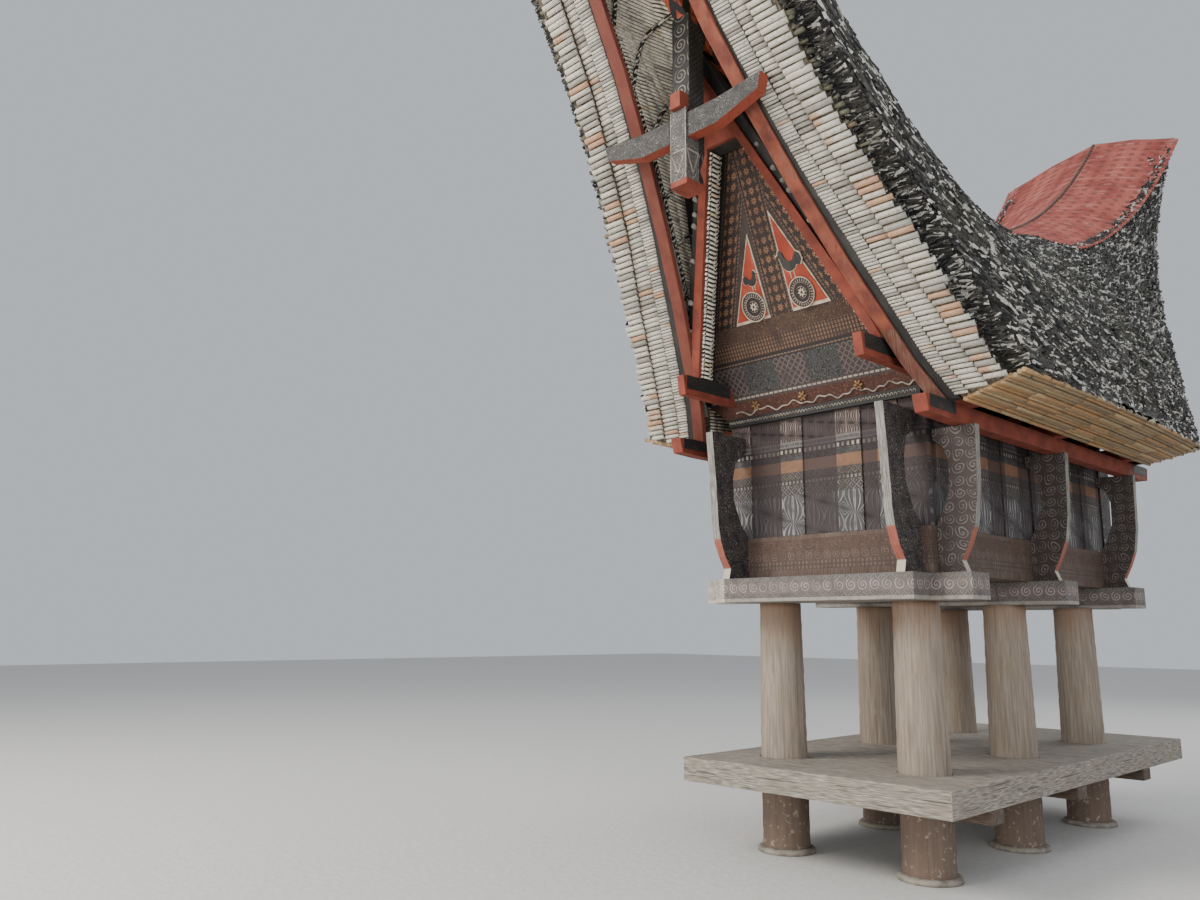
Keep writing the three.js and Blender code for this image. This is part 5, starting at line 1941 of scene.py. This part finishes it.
@dataclass
class Thatch:
    """Dark layered thatch in clumps of short strips."""

    finishes: Finishes
    count: int = 16000
    edge_count: int = 4200
    tuft: float = 0.026
    loose: tuple[float, float] = (-0.004, 0.008)
    sheet_step: float = 8.15
    sheet_from: float = 0.33
    back: tuple = ((2.9, 0.17), (4.0, 0.17), (5.0, 0.16), (5.7, 0.15), (6.4, 0.1), (7.15, 0.015),
                   (7.7, -0.04))

    def build(self) -> None:
        """Dresses the solid and lays strips over its faces."""
        dress("thatch", Underlay("thatch_body", rgb(52, 50, 46), rgb(18, 17, 16), 26.0).material())
        shape = strip_shape("strip")
        for name, end, side in (("front_right", -1, 1), ("rear_right", 1, 1),
                                ("front_left", -1, -1), ("rear_left", 1, -1)):
            spots = Spots()
            rng = np.random.default_rng(20 + 3 * end + side)
            self.cover(spots, rng, end, side)
            self.edge(spots, rng, end, side)
            Layer.lay("thatch_strips_" + name, shape, spots, self.finishes.strips, "old_thatch",
                      (0.4, 0.1, 0.14), 0.25, 30 + end + 4 * side)

    def lift(self, step: np.ndarray, v: np.ndarray, side: int) -> np.ndarray:
        """How far the solid's tufts stand out at places of the outer face.

        Args:
            step: 0 at the eave to 10 at the ridge.
            v: -1 at the front end to 1 at the rear.
            side: side of the house.

        Returns:
            The steps outwards as rows.
        """
        stops = sorted({s * (1 - 0.008 * k) for k in range(6) for s in ENDS}
                       | {s * k * 0.95 / 7 for k in range(7) for s in ENDS})
        rows = [stops[0]]
        for a, b in zip(stops, stops[1:]):
            rows += [a + (b - a) * t / 3 for t in (1, 2, 3)] if b - a > 0.05 else [b]
        column, row = np.meshgrid(np.arange(41), np.arange(len(rows)), indexing="ij")
        heights = self.tuft * ((column * 73 + row * 151 + column * row * 37) % 101) / 100
        heights[[0, -1]] = 0
        place = side * 2 * (10 - step) + 20
        spot = np.interp(v, rows, np.arange(len(rows)))
        i, j = np.minimum(place.astype(int), 39), np.minimum(spot.astype(int), len(rows) - 2)
        a, b = place - i, spot - j
        height = (heights[i, j] * (1 - a) + heights[i + 1, j] * a) * (1 - b) \
            + (heights[i, j + 1] * (1 - a) + heights[i + 1, j + 1] * a) * b
        lean = 0.85 * np.minimum(1, abs(place - 20) / 4)
        height *= (abs(v) < 0.965)
        return np.stack([side * lean, lean * 0, np.sqrt(1 - lean * lean)], 1) * height[:, None]

    def normal(self, step: np.ndarray, v: np.ndarray, side: int) -> np.ndarray:
        """Outward direction of the outer face.

        Args:
            step: 0 at the eave to 10 at the ridge.
            v: -1 at the front end to 1 at the rear.
            side: side of the house.

        Returns:
            The directions as rows.
        """
        here = ROOF.point(1.0, step, v, side)
        above, below = np.minimum(step + 0.05, 10), np.maximum(step - 0.05, 0)
        up = ROOF.point(1.0, above, v, side) - ROOF.point(1.0, below, v, side)
        run = ROOF.point(1.0, step, v + 0.01, side) - here
        out = np.cross(run, up) * side
        outward = np.sign(out[:, 2:3] + out[:, 0:1] * side * 0.5)
        return out / np.linalg.norm(out, axis=1, keepdims=True) * outward

    def sizes(self, rng: np.random.Generator, count: int, *limits: tuple[float, float]) -> np.ndarray:
        """Random sizes on each axis between its limits, as rows."""
        return np.stack([rng.uniform(low, high, count) for low, high in limits], 1)

    def reach(self, z: np.ndarray) -> np.ndarray:
        """How far the thatch reaches along the house at given heights."""
        return ROOF.verge(z) - np.interp(z, [z for z, _ in self.back], [b for _, b in self.back])

    def cover(self, spots: Spots, rng: np.random.Generator, end: int, side: int) -> None:
        """Spreads strips over a quarter of the outer face, but not under the ridge sheets.

        Args:
            spots: where the strips are gathered.
            rng: source of random numbers.
            end: end of the house.
            side: side of the house.
        """
        step, v = rng.uniform(0.0, 10.0, self.count), end * rng.uniform(0.0, 0.998, self.count)
        spot = ROOF.point(1.0, step, v, side)
        keep = (step < self.sheet_step) | (v < self.sheet_from)
        keep &= abs(spot[:, 1]) < self.reach(spot[:, 2]) - 0.01
        step, v = step[keep], v[keep]
        count = len(step)
        spot = ROOF.point(1.0, step, v, side) + self.lift(step, v, side)
        out = self.normal(step, v, side)
        run = ROOF.point(1.0, step, v + 0.02, side) - ROOF.point(1.0, step, v, side)
        run = run / np.linalg.norm(run, axis=1, keepdims=True)
        down = np.cross(out, run)
        long = run + down * rng.normal(0.0, 0.3, (count, 1)) + out * rng.uniform(-0.08, 0.08, (count, 1))
        size = self.sizes(rng, count, (0.05, 0.11), (0.013, 0.025), (0.008, 0.015))
        spots.add(spot + out * rng.uniform(*self.loose, (count, 1)), long, out, size)

    def edge(self, spots: Spots, rng: np.random.Generator, end: int, side: int) -> None:
        """Spreads strips over the thatch's leaning front edge.

        Args:
            spots: where the strips are gathered.
            rng: source of random numbers.
            end: end of the house.
            side: side of the house.
        """
        count = self.edge_count
        step, depth, v = rng.uniform(0.0, 8.8, count), rng.uniform(0.66, 1.0, count), np.ones(count)
        high = ROOF.point(depth, step, 1.0)[:, 2]
        for _ in range(5):
            v = self.reach(ROOF.point(depth, step, v)[:, 2]) / ROOF.verge(high)
        out = np.array([0.0, end, -ROOF.lean]) / math.hypot(1, ROOF.lean)
        spot = ROOF.point(depth, step, end * v, side) + out * rng.uniform(*self.loose, (count, 1))
        level = np.array([side, 0.0, 0.0])
        long = level + np.cross(out, level) * rng.normal(0.0, 0.25, (count, 1))
        long = long + out * rng.uniform(-0.1, 0.1, (count, 1))
        size = self.sizes(rng, count, (0.05, 0.11), (0.013, 0.024), (0.008, 0.015))
        spot[:, 0] -= side * 0.5 * size[:, 0] * (depth > 0.93)
        spots.add(spot, long, out, size)
        count //= 6
        z, deep = rng.uniform(3.1, 6.9, count), rng.uniform(0.02, 0.16, (count, 1))
        rim = ROOF.rim(0.68, 1.0, z)
        spot = np.stack([side * rim[:, 0], end * (ROOF.verge(z) - deep[:, 0]), z], 1)
        long = level + rng.normal(0.0, 0.5, (count, 3)) * (0.1, 1, 1)
        size = np.stack([rng.uniform(0.03, 0.07, count), rng.uniform(0.008, 0.016, count),
                         np.full(count, 0.008)], 1)
        spots.add(spot, long, (0, end, 0.1), size)


@dataclass
class RidgeCover:
    """Corrugated sheets folded over the rear ridge, and the folded boards at the tips."""

    finishes: Finishes
    first: float = 0.334
    last: float = 0.998
    wave: float = 0.007
    pitch: float = 0.076
    above: float = 0.0155
    thick: float = 0.0012
    columns: int = 260
    fold: tuple[float, float, float] = (0.068, -0.0195, -0.03)
    seam: float = 0.016

    def build(self) -> None:
        """Builds the sheets and the boards."""
        self.sheets()
        for end in END_NAMES:
            refine(f"tip_boards_{end}", f"tip_cap_{end}", self.finishes.grey,
                   lambda c: Vector((math.copysign(0.93, c.x), 0.0, -0.36)), 0.004)

    def sheets(self) -> None:
        """Builds both leaves with real corrugations that run down the slope."""
        vs = np.linspace(self.first, self.last, self.columns)
        ridge = ROOF.point(1.0, 10.0, vs)
        run = np.concatenate([[0.0], np.cumsum(np.linalg.norm(np.diff(ridge, axis=0), axis=1))])
        rise = self.wave * np.sin(run / self.pitch * math.tau)
        mesh = bpy.data.meshes.new("sheets")
        body = bmesh.new()
        layer = body.loops.layers.uv.new("grain")
        for side in SIDES:
            steps = np.concatenate([np.linspace(10, 9, 5), np.linspace(9, 8, 5)[1:]])
            grid = [ROOF.point(1.0, s, vs, side) for s in steps]
            out, back, down = self.fold
            drop = np.stack([np.full_like(vs, side * out), vs * back, np.full_like(vs, down)], 1)
            grid.append(grid[-1] + drop)
            across = [0.0]
            for a, b in zip(grid[:-1], grid[1:]):
                across.append(across[-1] + float(np.linalg.norm(b - a, axis=1).mean()))
            for shift in (0.0, self.thick):
                verts = [[body.verts.new((x, y, z + self.above + up - shift))
                          for (x, y, z), up in zip(line, rise)] for line in grid]
                for i in range(len(grid) - 1):
                    for r in range(self.columns - 1):
                        places = ((i, r), (i, r + 1), (i + 1, r + 1), (i + 1, r))
                        quad = [verts[a][b] for a, b in places]
                        spots = [(run[b], across[a]) for a, b in places]
                        if (side > 0) == bool(shift):
                            quad.reverse()
                            spots.reverse()
                        face = body.faces.new(quad)
                        face.smooth = True
                        for loop, spot in zip(face.loops, spots):
                            loop[layer].uv = spot
        body.to_mesh(mesh)
        body.free()
        keep_inside(mesh, *HOUSE_BOX)
        place_piece("ridge_sheets", mesh, RustedSheet().material(), ["ridge_cap"])
        seam = Shape()
        path = ROOF.point(1.0, 10.0, np.linspace(self.first, self.last - 0.002, 90)) + np.array([0, 0, 0.014])
        seam.tube(path, [self.seam + 0.005 * (k % 2) for k in range(len(path))], 8)
        mesh = seam.mesh("seam", LENGTHWISE, True)
        keep_inside(mesh, *HOUSE_BOX)
        place_piece("ridge_seam", mesh, self.finishes.dark)


@dataclass
class Studio:
    """Plain pale floor, soft lights and the camera of the photograph."""

    where: tuple[float, float, float] = (3.7915, -7.3421, 1.55)
    focal: float = 958.68
    picture_width: float = 1200.0
    film_width: float = 36.0
    floor_reach: float = 40.0
    yaw: float = 46.459
    pitch: float = 10.5645
    roll: float = 0.3688

    def build(self) -> None:
        """Builds the floor, the lights and the camera."""
        floor = Shape()
        corners = ((-1, -1), (1, -1), (1, 1), (-1, 1))
        floor.add([(x * self.floor_reach, y * self.floor_reach, -0.002) for x, y in corners], [(0, 1, 2, 3)])
        mesh = floor.mesh("floor", CROSSWISE)
        mesh.materials.append(ground_finish("studio_floor", rgb(206, 204, 200), rgb(200, 198, 194)))
        piece = bpy.data.objects.new("studio_floor", mesh)
        bpy.context.scene.collection.objects.link(piece)
        piece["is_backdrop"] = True
        warm, cool, white = (1.0, 0.96, 0.9), (0.92, 0.96, 1.0), (1.0, 1.0, 1.0)
        self.light("key", (-7.0, -13.0, 11.0), (0.0, -2.0, 3.2), 7.0, 2600.0, warm)
        self.light("fill", (10.0, -9.0, 5.0), (0.0, 0.0, 3.0), 8.0, 700.0, cool)
        self.light("bounce", (-2.0, -10.0, 0.8), (-0.3, -2.6, 5.0), 5.0, 520.0, warm)
        self.light("back", (4.0, 13.0, 10.0), (0.0, 0.0, 4.0), 8.0, 900.0, white)
        world = bpy.data.worlds.new("studio_air")
        world.use_nodes = True
        world.node_tree.nodes["Background"].inputs[0].default_value = rgb(222, 228, 236)
        world.node_tree.nodes["Background"].inputs[1].default_value = 0.75
        bpy.context.scene.world = world
        self.camera()

    def light(self, name: str, place: Point, target: Point, size: float, power: float, tint: Point) -> None:
        """Adds one soft square light.

        Args:
            name: name of the light.
            place: where it hangs.
            target: where it points.
            size: side of the square.
            power: strength in watts.
            tint: its colour.
        """
        data = bpy.data.lights.new(name, "AREA")
        data.shape, data.size, data.energy, data.color = "SQUARE", size, power, tint
        lamp = bpy.data.objects.new(name, data)
        lamp.location = place
        lamp.rotation_euler = (Vector(target) - Vector(place)).to_track_quat("-Z", "Y").to_euler()
        bpy.context.scene.collection.objects.link(lamp)

    def camera(self) -> None:
        """Adds the camera at the photograph's viewing angle."""
        yaw, pitch, roll = (math.radians(a) for a in (self.yaw, self.pitch, self.roll))
        ahead = Vector((-math.sin(yaw) * math.cos(pitch), math.cos(yaw) * math.cos(pitch), math.sin(pitch)))
        level = Vector((math.cos(yaw), math.sin(yaw), 0.0))
        upward = level.cross(ahead)
        right = level * math.cos(roll) + upward * math.sin(roll)
        upward = -level * math.sin(roll) + upward * math.cos(roll)
        data = bpy.data.cameras.new("camera")
        data.sensor_width, data.lens = self.film_width, self.film_width * self.focal / self.picture_width
        camera = bpy.data.objects.new("camera", data)
        turn = np.array([right, upward, -ahead]).T
        matrix = np.eye(4)
        matrix[:3, :3], matrix[:3, 3] = turn, self.where
        camera.matrix_world = Matrix(matrix.tolist())
        bpy.context.scene.collection.objects.link(camera)
        bpy.context.scene.camera = camera


def main() -> None:
    """Builds the house in order."""
    logging.basicConfig(level=logging.INFO, format="%(name)s %(message)s")
    finishes = Finishes()
    parts = (Substructure(finishes), Chamber(finishes), EaveFrame(finishes),
             Gable(finishes), Ceiling(finishes), RoofEnds(finishes), Thatch(finishes),
             RidgeCover(finishes), Studio())
    for part in parts:
        LOG.info("building %s", type(part).__name__)
        part.build()


if __name__ == "__main__":
    main()
